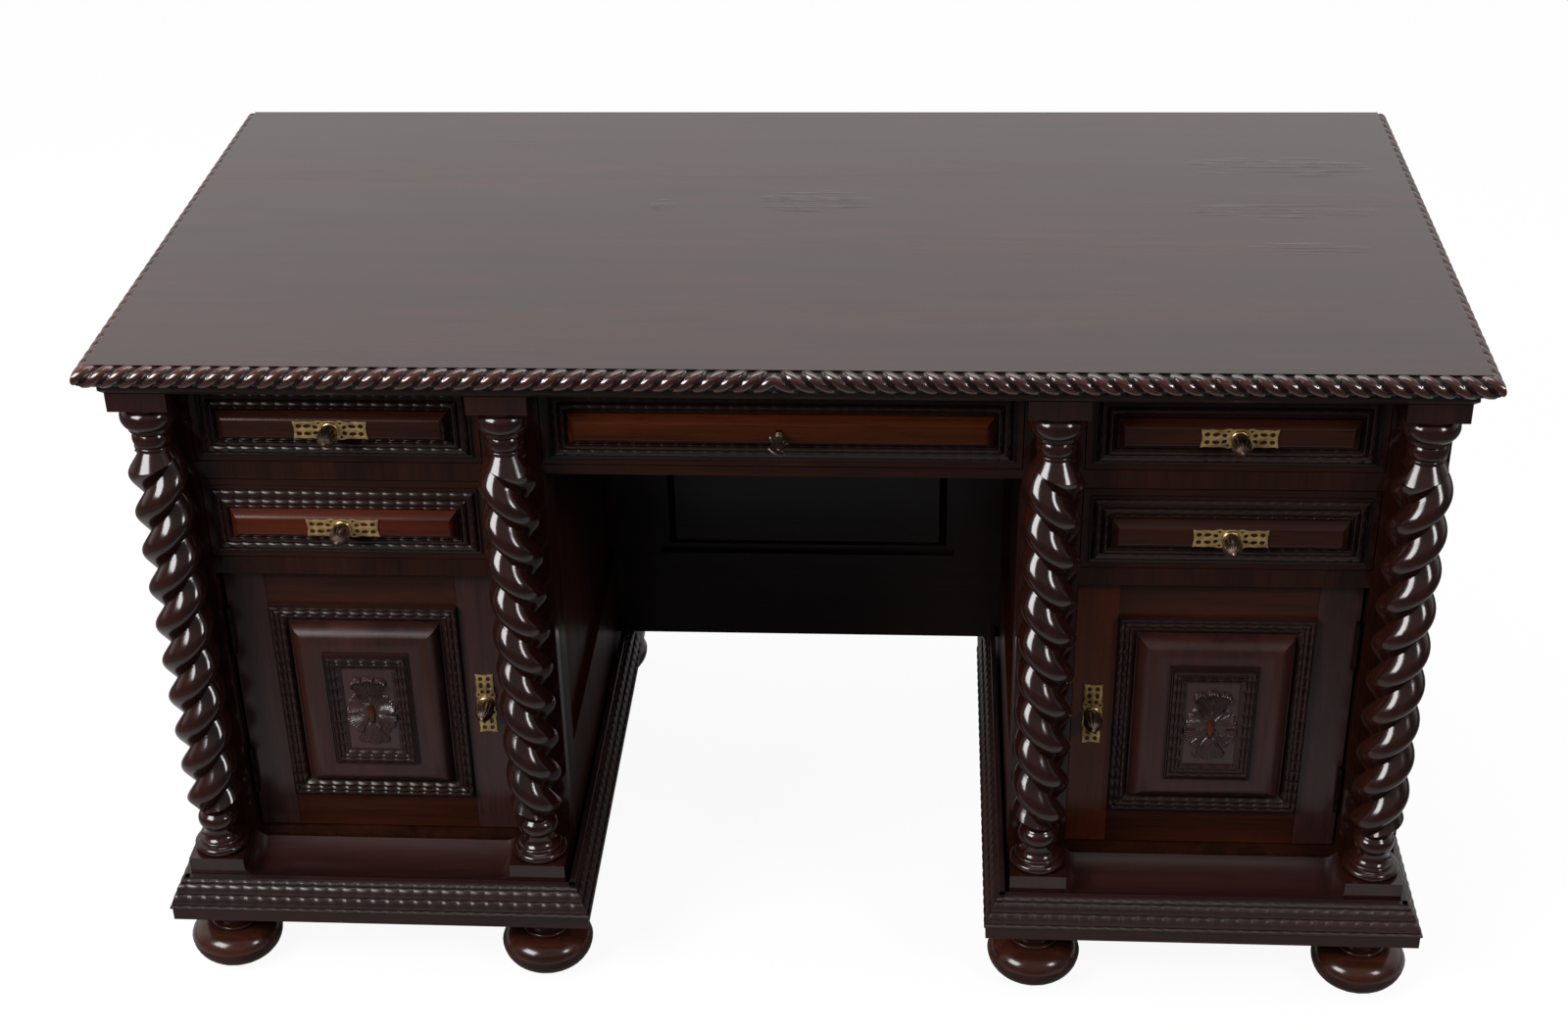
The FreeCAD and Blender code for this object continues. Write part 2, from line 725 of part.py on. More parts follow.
def lock_case():
    z = lock_level()
    top = upper_top - running_gap
    case = box(-lock_width / 2, lock_width / 2, frame_back - lock_thick, frame_back,
               z - lock_height / 2, top)
    half_x = bolt_width / 2 + bolt_clearance
    half_y = bolt_thick / 2 + bolt_clearance / 2
    middle_y = frame_back - lock_thick / 2
    channel = box(-half_x, half_x, middle_y - half_y, middle_y + half_y, top - bolt_height - bolt_clearance,
                  top + overrun)
    bore = Part.makeCylinder(key_radius + key_clearance, lock_thick + 2 * overrun,
                             V(0, frame_back - lock_thick - overrun, z), V(0, 1, 0))
    swing = Part.makeCylinder(key_bit_drop + key_radius + key_clearance, key_bit_length + key_clearance,
                              V(0, frame_back - key_bit_length - key_clearance, z), V(0, 1, 0))
    return case.cut([channel, bore, swing])


def lock_bolt():
    top = upper_top - running_gap - bolt_clearance
    middle_y = frame_back - lock_thick / 2
    low = max(top - bolt_height, lock_level() + key_bit_drop + key_radius + 2 * key_clearance)
    return box(-bolt_width / 2, bolt_width / 2, middle_y - bolt_thick / 2, middle_y + bolt_thick / 2, low, top)


def key():
    # A shank with a bit inside the lock and a flat pierced bow outside, part way round its turn.
    z = lock_level()
    shank_start = carcass_front - pillow_rise - key_shank
    shank = Part.makeCylinder(key_radius, frame_back - shank_start, V(0, shank_start, 0), V(0, 1, 0))
    bit = box(-key_bow_thick / 2, key_bow_thick / 2, frame_back - key_bit_length, frame_back,
              -key_radius - key_bit_drop, 0)
    bow = Part.makeCylinder(key_bow_width / 2, key_bow_thick, V(0, 0, -key_bow_thick / 2))
    stretch = FreeCAD.Matrix()
    stretch.scale(1, key_bow_length / key_bow_width, 1)
    bow = bow.transformGeometry(stretch)
    hole_radius = key_hole_share * key_bow_width
    for side in (-1, 1):
        start = V(0, side * key_hole_place_share * key_bow_length, -key_bow_thick)
        bow = bow.cut(Part.makeCylinder(hole_radius, 2 * key_bow_thick, start))
    bow.translate(V(0, shank_start - key_bow_length / 2 + key_radius, 0))
    whole = shank.fuse([bit, bow])
    whole.rotate(V(0, 0, 0), V(0, 1, 0), key_tilt)
    whole.translate(V(0, 0, z))
    return whole


def modesty_panel():
    x = inner_face
    y0 = modesty_front
    y1 = y0 + modesty_thick
    frame = box(-x, x, y0, y1, modesty_low, carcass_top)
    window_x = x - modesty_stile
    frame = frame.cut(box(-window_x, window_x, y0 - overrun, y1 + overrun, side_panel_low, side_panel_high))
    panel_y = y0 + modesty_recess
    panel = box(-window_x, window_x, panel_y, y1, side_panel_low, side_panel_high)
    field = raised(-window_x + modesty_bevel, window_x - modesty_bevel, side_panel_low + modesty_bevel,
                   side_panel_high - modesty_bevel, panel_y, y0 + runner_gap, modesty_bevel, modesty_bevel)
    return [frame, panel.fuse(field)]


def save(name, shapes):
    pieces = shapes if isinstance(shapes, list) else [shapes]
    shape = pieces[0] if len(pieces) == 1 else Part.makeCompound(pieces)
    for solid in shape.Solids:
        if not solid.isValid():
            print("not valid:", name)
    shape.exportStep(os.path.join("parts", name + ".step"))
    print(name, len(shape.Solids), round(shape.Volume))


def save_pair(name, shapes):
    pieces = shapes if isinstance(shapes, list) else [shapes]
    save("right_" + name, pieces)
    save("left_" + name, [mirrored(piece) for piece in pieces])


def build():
    os.makedirs("parts", exist_ok=True)
    save("top_board", top_board())
    save("rope_edge", rope_edge())
    save("top_subframe", top_subframe())
    save_pair("outer_side", side_wall(outer_face, 1))
    save_pair("inner_side", side_wall(inner_face, -1))
    save_pair("back_panel", back_panel())
    save_pair("carcass_boards", carcass_boards())
    save_pair("face_frame", face_frame())
    save_pair("base_plate", base_plate())
    save_pair("plinth_mouldings", plinth_mouldings())
    save("right_outer_column", column(column_outer_x, False))
    save("right_inner_column", column(column_inner_x, True))
    save("left_outer_column", column(-column_outer_x, False))
    save("left_inner_column", column(-column_inner_x, True))
    save("feet", feet())
    x0 = opening_inner + running_gap
    x1 = opening_outer - running_gap
    front_y = carcass_front - pillow_rise
    for name, level in (("upper", upper_low), ("lower", lower_low)):
        middle = level + drawer_opening / 2
        save_pair(name + "_drawer_box", drawer_box(x0 + box_side_gap, x1 - box_side_gap, level, box_length))
        save_pair(name + "_drawer_front", drawer_front(x0, x1, level))
        save_pair(name + "_drawer_ripple", rising_frame(
            x0 + drawer_ripple_margin, x1 - drawer_ripple_margin, level + running_gap + drawer_ripple_margin,
            level + drawer_opening - running_gap - drawer_ripple_margin, carcass_front, drawer_ripple_proud,
            ripple_band))
        save_pair(name + "_drawer_pull", pull(False, pedestal_middle, front_y, middle))
    save_pair("door_frame", door_frame())
    save_pair("door_panel", door_panel())
    save_pair("door_ripples", door_ripples())
    save_pair("door_plaque", door_plaque())
    door_y = carcass_front + door_recess
    d0, d1, e0, e1 = door_limits()
    save_pair("door_pull", pull(True, d0 + door_ripple_side_margin / 2, door_y, (e0 + e1) / 2))
    save_pair("door_hinges", hinges(True))
    save_pair("hinge_leaves", hinges(False))
    x = inner_face - running_gap
    save("centre_drawer_frame", centre_drawer_frame())
    save("centre_drawer_box", drawer_box(box_side_gap - x, x - box_side_gap, upper_low, centre_box_length))
    save("centre_drawer_front", centre_front())
    save("centre_drawer_ripple", rising_frame(
        drawer_ripple_margin - x, x - drawer_ripple_margin, upper_low + running_gap + drawer_ripple_margin,
        upper_top - running_gap - drawer_ripple_margin, carcass_front, drawer_ripple_proud, ripple_band))
    save("lock_case", lock_case())
    save("lock_bolt", lock_bolt())
    save("key", key())
    save("modesty_panel", modesty_panel())
    print("hinge axis", hinge_axis(), "lock level", lock_level())


build()
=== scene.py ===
# %% [markdown]
# # A kneehole desk with twisted columns
# The desk is a dark, French-polished writing desk: two pedestals under one rope-edged top, ripple
# mouldings round every drawer and door, and pierced brass pulls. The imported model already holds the
# carcass, the turned and twisted columns and the feet, all in metres. This lesson gives those solids
# their finish, and models anew what a carver or a brass founder would add to them.

# %% Load the desk
import math
import bmesh
import bpy
from mathutils import Matrix, Vector


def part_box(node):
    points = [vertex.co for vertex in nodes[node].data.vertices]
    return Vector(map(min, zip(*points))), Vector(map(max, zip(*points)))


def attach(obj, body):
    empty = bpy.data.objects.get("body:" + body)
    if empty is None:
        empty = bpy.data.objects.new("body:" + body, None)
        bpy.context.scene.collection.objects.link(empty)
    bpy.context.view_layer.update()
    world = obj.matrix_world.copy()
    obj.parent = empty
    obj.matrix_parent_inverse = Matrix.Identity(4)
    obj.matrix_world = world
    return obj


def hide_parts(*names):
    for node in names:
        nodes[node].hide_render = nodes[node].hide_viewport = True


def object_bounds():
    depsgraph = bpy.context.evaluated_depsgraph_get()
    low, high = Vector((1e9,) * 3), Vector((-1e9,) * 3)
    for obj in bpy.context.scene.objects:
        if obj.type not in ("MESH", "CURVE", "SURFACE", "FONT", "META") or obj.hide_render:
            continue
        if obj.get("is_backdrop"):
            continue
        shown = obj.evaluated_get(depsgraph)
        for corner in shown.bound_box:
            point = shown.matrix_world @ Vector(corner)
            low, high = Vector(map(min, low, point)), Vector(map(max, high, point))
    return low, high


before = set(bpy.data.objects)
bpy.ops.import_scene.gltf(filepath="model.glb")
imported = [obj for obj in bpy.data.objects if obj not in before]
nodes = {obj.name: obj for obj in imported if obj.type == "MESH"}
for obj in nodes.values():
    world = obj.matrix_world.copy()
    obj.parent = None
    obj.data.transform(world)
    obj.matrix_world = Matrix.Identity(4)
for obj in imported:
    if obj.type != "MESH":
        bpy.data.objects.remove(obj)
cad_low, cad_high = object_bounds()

print("the desk measures", [round(b - a, 3) for a, b in zip(cad_low, cad_high)], "in", len(nodes), "nodes")

# %% [markdown]
# ## The camera
# The desk is seen from in front, a little right of its middle and well above it, as by someone who
# stands at it. A long lens keeps the upright columns nearly parallel. The picture was trimmed after it
# was taken, so the lens axis isn't in its middle, and a small shift of the sensor stands for that.

# %% Camera
image_width = 1600
lens_length = 55.04
camera_place = Vector((0.14367, -2.47656, 1.84834))
yaw, pitch, roll = 0.0797, 0.5452, -0.0280
# The picture's middle lies this far right of the lens axis and above it, in its own pixels.
off_axis_right, off_axis_up = 31.05, 60

ahead = Vector((-math.sin(yaw), math.cos(yaw), 0))
right = Vector((math.cos(yaw), math.sin(yaw), 0))
upward = Vector((0, 0, 1))
gaze = ahead * math.cos(pitch) - upward * math.sin(pitch)
top_of_view = upward * math.cos(pitch) + ahead * math.sin(pitch)
side_of_view = right * math.cos(roll) + top_of_view * math.sin(roll)
top_of_view = top_of_view * math.cos(roll) - right * math.sin(roll)

camera_data = bpy.data.cameras.new("camera")
camera_data.lens = lens_length
camera_data.sensor_width = 36
camera_data.shift_x = off_axis_right / image_width
camera_data.shift_y = off_axis_up / image_width
camera = bpy.data.objects.new("camera", camera_data)
turned = Matrix((side_of_view, top_of_view, -gaze)).transposed().to_4x4()
camera.matrix_world = Matrix.Translation(camera_place) @ turned
bpy.context.scene.collection.objects.link(camera)
bpy.context.scene.camera = camera
bpy.context.scene.view_settings.view_transform = "Standard"
print("camera looks down by", round(math.degrees(pitch), 1), "degrees")

# %% [markdown]
# ## Light and floor
# French polish shows its surroundings, so the room matters as much as the lamps. Two soft boxes stand
# in front, left and right, and give each twist its two bright streaks, and a third hangs over the top.
# A pale floor and a pale room give the flat top its grey sheen. Both look white to the camera and pale
# in reflections, and the lamps stay low enough that no colour on the desk washes out.

# %% Soft boxes
def soft_box(name, place, target, width, height, power):
    data = bpy.data.lights.new(name, "AREA")
    data.shape = "RECTANGLE"
    data.size, data.size_y = width, height
    data.energy = power
    lamp = bpy.data.objects.new(name, data)
    lamp.location = place
    lamp.rotation_euler = (Vector(target) - Vector(place)).to_track_quat("-Z", "Y").to_euler()
    bpy.context.scene.collection.objects.link(lamp)


soft_box("soft_box_left", (-2.1, -2.0, 2.3), (0, -0.2, 0.5), width=1.5, height=1.2, power=110)
soft_box("soft_box_right", (2.3, -2.0, 2.2), (0, -0.2, 0.5), width=0.6, height=0.8, power=32)
soft_box("soft_box_over", (0.0, -0.2, 3.4), (0, 0, 0.5), width=2.4, height=1.6, power=45)
print("three soft boxes")

# %% World
def number_node(tree, operation, *values):
    """A Math node; each value is a number or a socket."""
    node = tree.nodes.new("ShaderNodeMath")
    node.operation = operation
    for socket, value in zip(node.inputs, values):
        if isinstance(value, (int, float)):
            socket.default_value = value
        else:
            tree.links.new(value, socket)
    return node.outputs[0]


def ramp(tree, value, low, high, out_low=0.0, out_high=1.0, shape="SMOOTHSTEP"):
    node = tree.nodes.new("ShaderNodeMapRange")
    node.interpolation_type = shape
    for label, number in (("From Min", low), ("From Max", high), ("To Min", out_low), ("To Max", out_high)):
        node.inputs[label].default_value = number
    tree.links.new(value, node.inputs["Value"])
    return node.outputs["Result"]


def pale_room(behind, before, above):
    """The camera sees this room white. Polish finds it white behind the desk, dim on the viewer's side,
    and pale under its ceiling."""
    # Where the changes start and end, as the Y and the Z of a direction that is 1 long.
    wall_starts, wall_white = -0.35, 0.45
    ceiling_starts, ceiling_full = 0.28, 0.5
    world = bpy.data.worlds.new("pale_room")
    bpy.context.scene.world = world
    world.use_nodes = True
    tree = world.node_tree
    tree.nodes.clear()
    output = tree.nodes.new("ShaderNodeOutputWorld")
    parts = tree.nodes.new("ShaderNodeSeparateXYZ")
    tree.links.new(tree.nodes.new("ShaderNodeTexCoord").outputs["Generated"], parts.inputs[0])
    wall = ramp(tree, parts.outputs["Y"], wall_starts, wall_white, before, behind)
    ceiling = ramp(tree, parts.outputs["Z"], ceiling_starts, ceiling_full, 0.0, above)
    room = tree.nodes.new("ShaderNodeBackground")
    path = tree.nodes.new("ShaderNodeLightPath")
    seen = number_node(tree, "MULTIPLY", path.outputs["Is Camera Ray"], behind)
    strength = number_node(tree, "MAXIMUM", number_node(tree, "MAXIMUM", wall, ceiling), seen)
    tree.links.new(strength, room.inputs["Strength"])
    room.inputs["Color"].default_value = (1, 1, 1, 1)
    tree.links.new(room.outputs[0], output.inputs["Surface"])


pale_room(behind=1.0, before=0.12, above=0.32)
print("the room is white behind, dim in front")

# %% [markdown]
# The desk stands on a sweep of white paper. Seen directly it is plain white with a faint shadow. Polish
# and brass mirror it too, and what they find there is painted light: a painted pool of light, brightest
# just round the desk, a painted shadow under the desk, and a painted fade further off. That is why the
# plinth looks grey, while the knee space stays black and the drawer fronts deep red.

# %% Floor
paper_drop, paper_grey = 0.0005, 0.07
# Painted light in the paper's reflections: a painted pool of light beside the desk that fades further off,
# and a painted shadow under the desk.
painted_glow_near, painted_glow_far = 0.55, 0.05
painted_shadow_width, painted_shadow_glow = 0.06, 0.12


def unit_grid(x_segments, y_segments):
    """A flat grid from -0.5 to 0.5 in X and Y."""
    bm = bmesh.new()
    bmesh.ops.create_grid(bm, x_segments=x_segments, y_segments=y_segments, size=0.5)
    return bm


def white_floor(size, seen_white, lit_near, lit_far):
    """White paper. In reflections its light is painted: lit up to lit_near beside the desk, dark from lit_far
    on, with a painted shadow under the desk.
    """
    bm = unit_grid(1, 1)
    bmesh.ops.scale(bm, vec=(size, size, 1), verts=bm.verts)
    bmesh.ops.translate(bm, vec=(0, 0, -paper_drop), verts=bm.verts)
    mesh = bpy.data.meshes.new("floor")
    bm.to_mesh(mesh)
    bm.free()
    floor = bpy.data.objects.new("floor", mesh)
    bpy.context.scene.collection.objects.link(floor)
    material = bpy.data.materials.new("floor_paper")
    material.use_nodes = True
    tree = material.node_tree
    paper = tree.nodes["Principled BSDF"]
    paper.inputs["Base Color"].default_value = (paper_grey, paper_grey, paper_grey, 1)
    paper.inputs["Roughness"].default_value = 0.9
    paper.inputs["Specular IOR Level"].default_value = 0.0
    paper.inputs["Emission Color"].default_value = (1, 1, 1, 1)
    place = tree.nodes.new("ShaderNodeSeparateXYZ")
    tree.links.new(tree.nodes.new("ShaderNodeTexCoord").outputs["Object"], place.inputs[0])
    beside = []
    for axis, half in (("X", cad_high[0]), ("Y", cad_high[1])):
        clear = number_node(tree, "SUBTRACT", number_node(tree, "ABSOLUTE", place.outputs[axis]), half)
        beside.append(number_node(tree, "POWER", number_node(tree, "MAXIMUM", clear, 0.0), 2.0))
    distance = number_node(tree, "SQRT", number_node(tree, "ADD", *beside))
    # The painted pool of light, dimmed by the painted shadow inside the desk's footprint; only glossy rays
    # see it.
    lit = ramp(tree, distance, lit_near, lit_far, painted_glow_near, painted_glow_far)
    reach = number_node(tree, "MULTIPLY", lit, ramp(tree, distance, 0.0, painted_shadow_width, painted_shadow_glow, 1.0))
    path = tree.nodes.new("ShaderNodeLightPath")
    mirrored = number_node(tree, "MULTIPLY", path.outputs["Is Glossy Ray"], reach)
    direct = number_node(tree, "ADD", path.outputs["Is Camera Ray"], path.outputs["Is Transmission Ray"])
    seen = number_node(tree, "MAXIMUM", mirrored, direct)
    tree.links.new(number_node(tree, "MULTIPLY", seen, seen_white), paper.inputs["Emission Strength"])
    mesh.materials.append(material)
    floor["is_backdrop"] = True
    print("the paper is white to", round(cad_high[0] + lit_near, 2), "m from the middle in reflections")


white_floor(size=60, seen_white=0.93, lit_near=0.15, lit_far=0.75)

# %% [markdown]
# ## Polished wood
# The desk is a dense reddish-brown hardwood, stained almost black and polished. Its grain only shows
# where light catches it: thin streaks along each board, slow changes of tone across it, and a redder
# brown where hands and dusting have thinned the stain. One node group draws that, and each material
# places it with its own direction along the board, depth of stain and redness. Height for the bump comes
# from the same streaks, so colour and relief agree.

# %% Helpers for node groups
def group_with(name, inputs, outputs):
    tree = bpy.data.node_groups.new(name, "ShaderNodeTree")
    for label, kind, value in inputs:
        socket = tree.interface.new_socket(name=label, in_out="INPUT", socket_type=kind)
        if value is not None:
            socket.default_value = value
    for label, kind in outputs:
        tree.interface.new_socket(name=label, in_out="OUTPUT", socket_type=kind)
    return tree, tree.nodes.new("NodeGroupInput"), tree.nodes.new("NodeGroupOutput")


def noise(tree, vector, scale, detail, roughness=0.55):
    node = tree.nodes.new("ShaderNodeTexNoise")
    node.inputs["Scale"].default_value = scale
    node.inputs["Detail"].default_value = detail
    node.inputs["Roughness"].default_value = roughness
    tree.links.new(vector, node.inputs["Vector"])
    return node.outputs["Fac"]


def spread(tree, value, low, high, out_low=0.0, out_high=1.0):
    return ramp(tree, value, low, high, out_low, out_high, "LINEAR")


def blend_colours(tree, factor, a, b):
    node = tree.nodes.new("ShaderNodeMix")
    node.data_type = "RGBA"
    for socket, value in zip((node.inputs["Factor"], node.inputs["A"], node.inputs["B"]), (factor, a, b)):
        if isinstance(value, (int, float, tuple)):
            socket.default_value = value
        else:
            tree.links.new(value, socket)
    return node.outputs["Result"]


print("groups are built from noise, spread and blend_colours")

# %% Grain group
pore_black = (0.004, 0.002, 0.002, 1)


def make_grain():
    tree, entry, leave = group_with(
        "stained_grain",
        [("Vector", "NodeSocketVector", None), ("Stain", "NodeSocketColor", (0.006, 0.003, 0.003, 1)),
         ("Warm", "NodeSocketColor", (0.05, 0.012, 0.005, 1)), ("Redness", "NodeSocketFloat", 0.5)],
        [("Color", "NodeSocketColor"), ("Height", "NodeSocketFloat"), ("Roughness", "NodeSocketFloat")])
    vector = entry.outputs["Vector"]
    streaks = noise(tree, vector, scale=1.0, detail=6, roughness=0.62)
    pores = noise(tree, vector, scale=5.0, detail=3, roughness=0.6)
    clouds = noise(tree, vector, scale=0.16, detail=3, roughness=0.5)
    warmth = spread(tree, number_node(tree, "ADD", streaks, clouds), 0.7, 1.35)
    warmth = number_node(tree, "MULTIPLY", warmth, entry.outputs["Redness"])
    colour = blend_colours(tree, warmth, entry.outputs["Stain"], entry.outputs["Warm"])
    filled = spread(tree, pores, 0.30, 0.46, 0.55, 1.0)
    colour = blend_colours(tree, filled, pore_black, colour)
    tree.links.new(colour, leave.inputs["Color"])
    height = number_node(tree, "ADD", number_node(tree, "MULTIPLY", pores, 0.5), streaks)
    tree.links.new(height, leave.inputs["Height"])
    tree.links.new(spread(tree, clouds, 0.3, 0.7), leave.inputs["Roughness"])
    return tree


grain = make_grain()
print("grain group has", len(grain.nodes), "nodes")

# %% [markdown]
# The top has a few dull patches where the old polish has shrunk into fine wrinkles. A second group draws
# them as relief: noise that is stretched from side to side makes the lines, and an oval mask for each
# patch fades them out at its edge.

# %% Wrinkled polish
# Each patch is (x, y, half width, half depth) in metres on the top board.
wrinkled_patches = [(0.552, 0.184, 0.115, 0.034), (0.544, 0.054, 0.115, 0.024),
                    (0.560, -0.050, 0.070, 0.016), (0.024, 0.078, 0.070, 0.034),
                    (-0.151, 0.063, 0.018, 0.020)]
wrinkles_per_metre = (7.0, 190.0, 1.0)


def make_wrinkles():
    """Fine raised lines that run from side to side, only inside the patches."""
    tree, entry, leave = group_with("wrinkled_polish", [("Vector", "NodeSocketVector", None)],
                                    [("Height", "NodeSocketFloat")])
    parts = tree.nodes.new("ShaderNodeSeparateXYZ")
    tree.links.new(entry.outputs["Vector"], parts.inputs[0])
    mask = 0.0
    for x, y, half_width, half_depth in wrinkled_patches:
        from_x = number_node(tree, "SUBTRACT", parts.outputs["X"], x)
        from_y = number_node(tree, "SUBTRACT", parts.outputs["Y"], y)
        across = number_node(tree, "DIVIDE", from_x, half_width)
        along = number_node(tree, "DIVIDE", from_y, half_depth)
        squares = [number_node(tree, "POWER", value, 2.0) for value in (across, along)]
        patch = number_node(tree, "SUBTRACT", 1.0, number_node(tree, "ADD", *squares))
        mask = number_node(tree, "MAXIMUM", mask, patch)
    mapping = tree.nodes.new("ShaderNodeMapping")
    mapping.inputs["Scale"].default_value = wrinkles_per_metre
    tree.links.new(entry.outputs["Vector"], mapping.inputs["Vector"])
    lines = ramp(tree, noise(tree, mapping.outputs["Vector"], 1.0, 2), 0.48, 0.60)
    tree.links.new(number_node(tree, "MULTIPLY", lines, mask), leave.inputs["Height"])
    return tree


wrinkles = make_wrinkles()
print("the polish is wrinkled in", len(wrinkled_patches), "patches")

# %% [markdown]
# The wood of the desk isn't all alike. The rails and the turnings are darkest, the veneer of two drawers
# and one stile are redder, the top has a grey sheen, and the door fields and the knee space are duller.
# The panel at the back of the knee space gets a greyer copy of the polish, which is painted shade.
# One function makes a finish with its grain along the board, and a table lists what each board gets.

# %% A polished wood
across_grain, along_grain = 95.0, 5.0
smoothest, dullest = 0.8, 1.25
grain_relief = 0.00006


def polished_wood(name, along, stain, warm, redness, roughness, specular):
    """A wood whose grain runs along X, Y or Z of the desk."""
    material = bpy.data.materials.new(name)
    material.use_nodes = True
    tree = material.node_tree
    surface = tree.nodes["Principled BSDF"]
    place = tree.nodes.new("ShaderNodeTexCoord").outputs["Object"]
    mapping = tree.nodes.new("ShaderNodeMapping")
    scale = [along_grain if axis == along else across_grain for axis in "XYZ"]
    mapping.inputs["Scale"].default_value = scale
    tree.links.new(place, mapping.inputs["Vector"])
    pattern = tree.nodes.new("ShaderNodeGroup")
    pattern.node_tree = grain
    pattern.inputs["Stain"].default_value = (*stain, 1)
    pattern.inputs["Warm"].default_value = (*warm, 1)
    pattern.inputs["Redness"].default_value = redness
    tree.links.new(mapping.outputs["Vector"], pattern.inputs["Vector"])
    tree.links.new(pattern.outputs["Color"], surface.inputs["Base Color"])
    rough = spread(tree, pattern.outputs["Roughness"], 0, 1, roughness * smoothest, roughness * dullest)
    tree.links.new(rough, surface.inputs["Roughness"])
    bump = tree.nodes.new("ShaderNodeBump")
    bump.inputs["Strength"].default_value = 0.35
    bump.inputs["Distance"].default_value = grain_relief
    tree.links.new(pattern.outputs["Height"], bump.inputs["Height"])
    tree.links.new(bump.outputs["Normal"], surface.inputs["Normal"])
    surface.inputs["Specular IOR Level"].default_value = specular
    return material


print("the grain has", across_grain, "streaks to a metre across the board, and", along_grain, "along it")

# %% Wood finishes
stain_dark = (0.0095, 0.0036, 0.0024)
warm_red = (0.048, 0.0105, 0.0036)
# A finish is (name, grain along, stain, warm tone, redness, roughness, specular level).
wood_finishes = [
    ("polished_top", "X", (0.012, 0.005, 0.005), (0.05, 0.012, 0.009), 0.6, 0.24, 0.55),
    ("polished_rail", "X", stain_dark, warm_red, 0.6, 0.14, 0.24),
    ("polished_upright", "Z", stain_dark, warm_red, 0.5, 0.14, 0.24),
    # A greyer copy of the polish for the modesty panel, whose tone is painted shade.
    ("polished_painted_shade", "X", (0.016, 0.011, 0.011), (0.034, 0.017, 0.014), 0.5, 0.25, 0.2),
    ("polished_knee_side", "Z", (0.013, 0.0045, 0.003), (0.06, 0.013, 0.005), 0.5, 0.35, 0.05),
    ("polished_turning", "Z", (0.008, 0.003, 0.0024), (0.045, 0.009, 0.004), 0.5, 0.14, 0.42),
    ("polished_foot", "X", (0.015, 0.0055, 0.004), (0.085, 0.022, 0.011), 0.7, 0.18, 0.38),
    ("polished_rope", "X", (0.012, 0.004, 0.003), (0.090, 0.016, 0.007), 0.7, 0.2, 0.8),
    # The rope's near-black groove wood is painted shade.
    ("rope_groove_painted_shade", "X", (0.005, 0.0028, 0.0026), (0.018, 0.0065, 0.0055), 0.4, 0.34, 0.14),
    ("base_board", "X", (0.012, 0.0048, 0.0042), (0.046, 0.012, 0.009), 0.6, 0.25, 0.22),
    ("base_cove", "X", (0.011, 0.0045, 0.0042), (0.045, 0.012, 0.009), 0.6, 0.3, 0.2),
    ("door_stile", "Z", (0.020, 0.0095, 0.0085), (0.076, 0.026, 0.021), 0.5, 0.2, 0.28),
    ("door_stile_red", "Z", (0.030, 0.008, 0.004), (0.125, 0.024, 0.007), 0.6, 0.2, 0.18),
    ("door_rail", "X", (0.014, 0.0048, 0.003), (0.070, 0.0145, 0.005), 0.7, 0.18, 0.24),
    ("polished_field", "Z", (0.014, 0.0052, 0.0044), (0.056, 0.0130, 0.0080), 0.7, 0.36, 0.36),
    ("carved_plaque", "Z", (0.018, 0.008, 0.008), (0.07, 0.022, 0.016), 0.5, 0.3, 0.5),
    ("polished_plinth", "X", (0.013, 0.007, 0.0065), (0.045, 0.014, 0.010), 0.5, 0.38, 0.36),
    ("ebonised_ripple", "X", (0.009, 0.0046, 0.0040), (0.034, 0.011, 0.008), 0.5, 0.26, 0.24),
    ("drawer_field", "X", (0.012, 0.0040, 0.0027), (0.046, 0.0096, 0.0040), 0.7, 0.2, 0.26),
    ("drawer_field_red", "X", (0.022, 0.0044, 0.0020), (0.092, 0.0145, 0.0042), 0.8, 0.22, 0.24),
    ("drawer_field_amber", "X", (0.026, 0.0058, 0.0018), (0.084, 0.0180, 0.0034), 0.8, 0.25, 0.13),
    ("plain_drawer_wood", "Y", (0.13, 0.06, 0.03), (0.30, 0.16, 0.08), 0.7, 0.6, 0.5)]
woods = {finish[0]: polished_wood(*finish) for finish in wood_finishes}
print(len(woods), "wood finishes")

# %% Wrinkle the top
top_tree = woods["polished_top"].node_tree
wrinkle_node = top_tree.nodes.new("ShaderNodeGroup")
wrinkle_node.node_tree = wrinkles
top_tree.links.new(top_tree.nodes["Texture Coordinate"].outputs["Object"], wrinkle_node.inputs["Vector"])
wrinkle_bump = top_tree.nodes.new("ShaderNodeBump")
wrinkle_bump.inputs["Strength"].default_value = 0.9
wrinkle_bump.inputs["Distance"].default_value = 0.0011
top_tree.links.new(wrinkle_node.outputs["Height"], wrinkle_bump.inputs["Height"])
top_tree.links.new(top_tree.nodes["Bump"].outputs["Normal"], wrinkle_bump.inputs["Normal"])
top_tree.links.new(wrinkle_bump.outputs["Normal"], top_tree.nodes["Principled BSDF"].inputs["Normal"])
print("the top's material has", len(top_tree.nodes), "nodes")

# %% [markdown]
# ## Ripple mouldings
# A ripple moulding, or flame moulding, is a wavy strip that frames each drawer and door. It was cut on
# a machine whose cutter rose and fell as the wood passed under it, so every reed across the strip swells
# and shrinks at the same pitch. Here one strip is a grid whose rows take the strip's cross-section, with
# two heights for each row: in the valleys between two beads, and on the crest of a bead. The ends are
# sliced at 45 degrees, as a joiner mitres them, and the open border is pushed back and closed.

# %% One length of ripple
steps_per_bead = 10
merge_distance = 1e-6


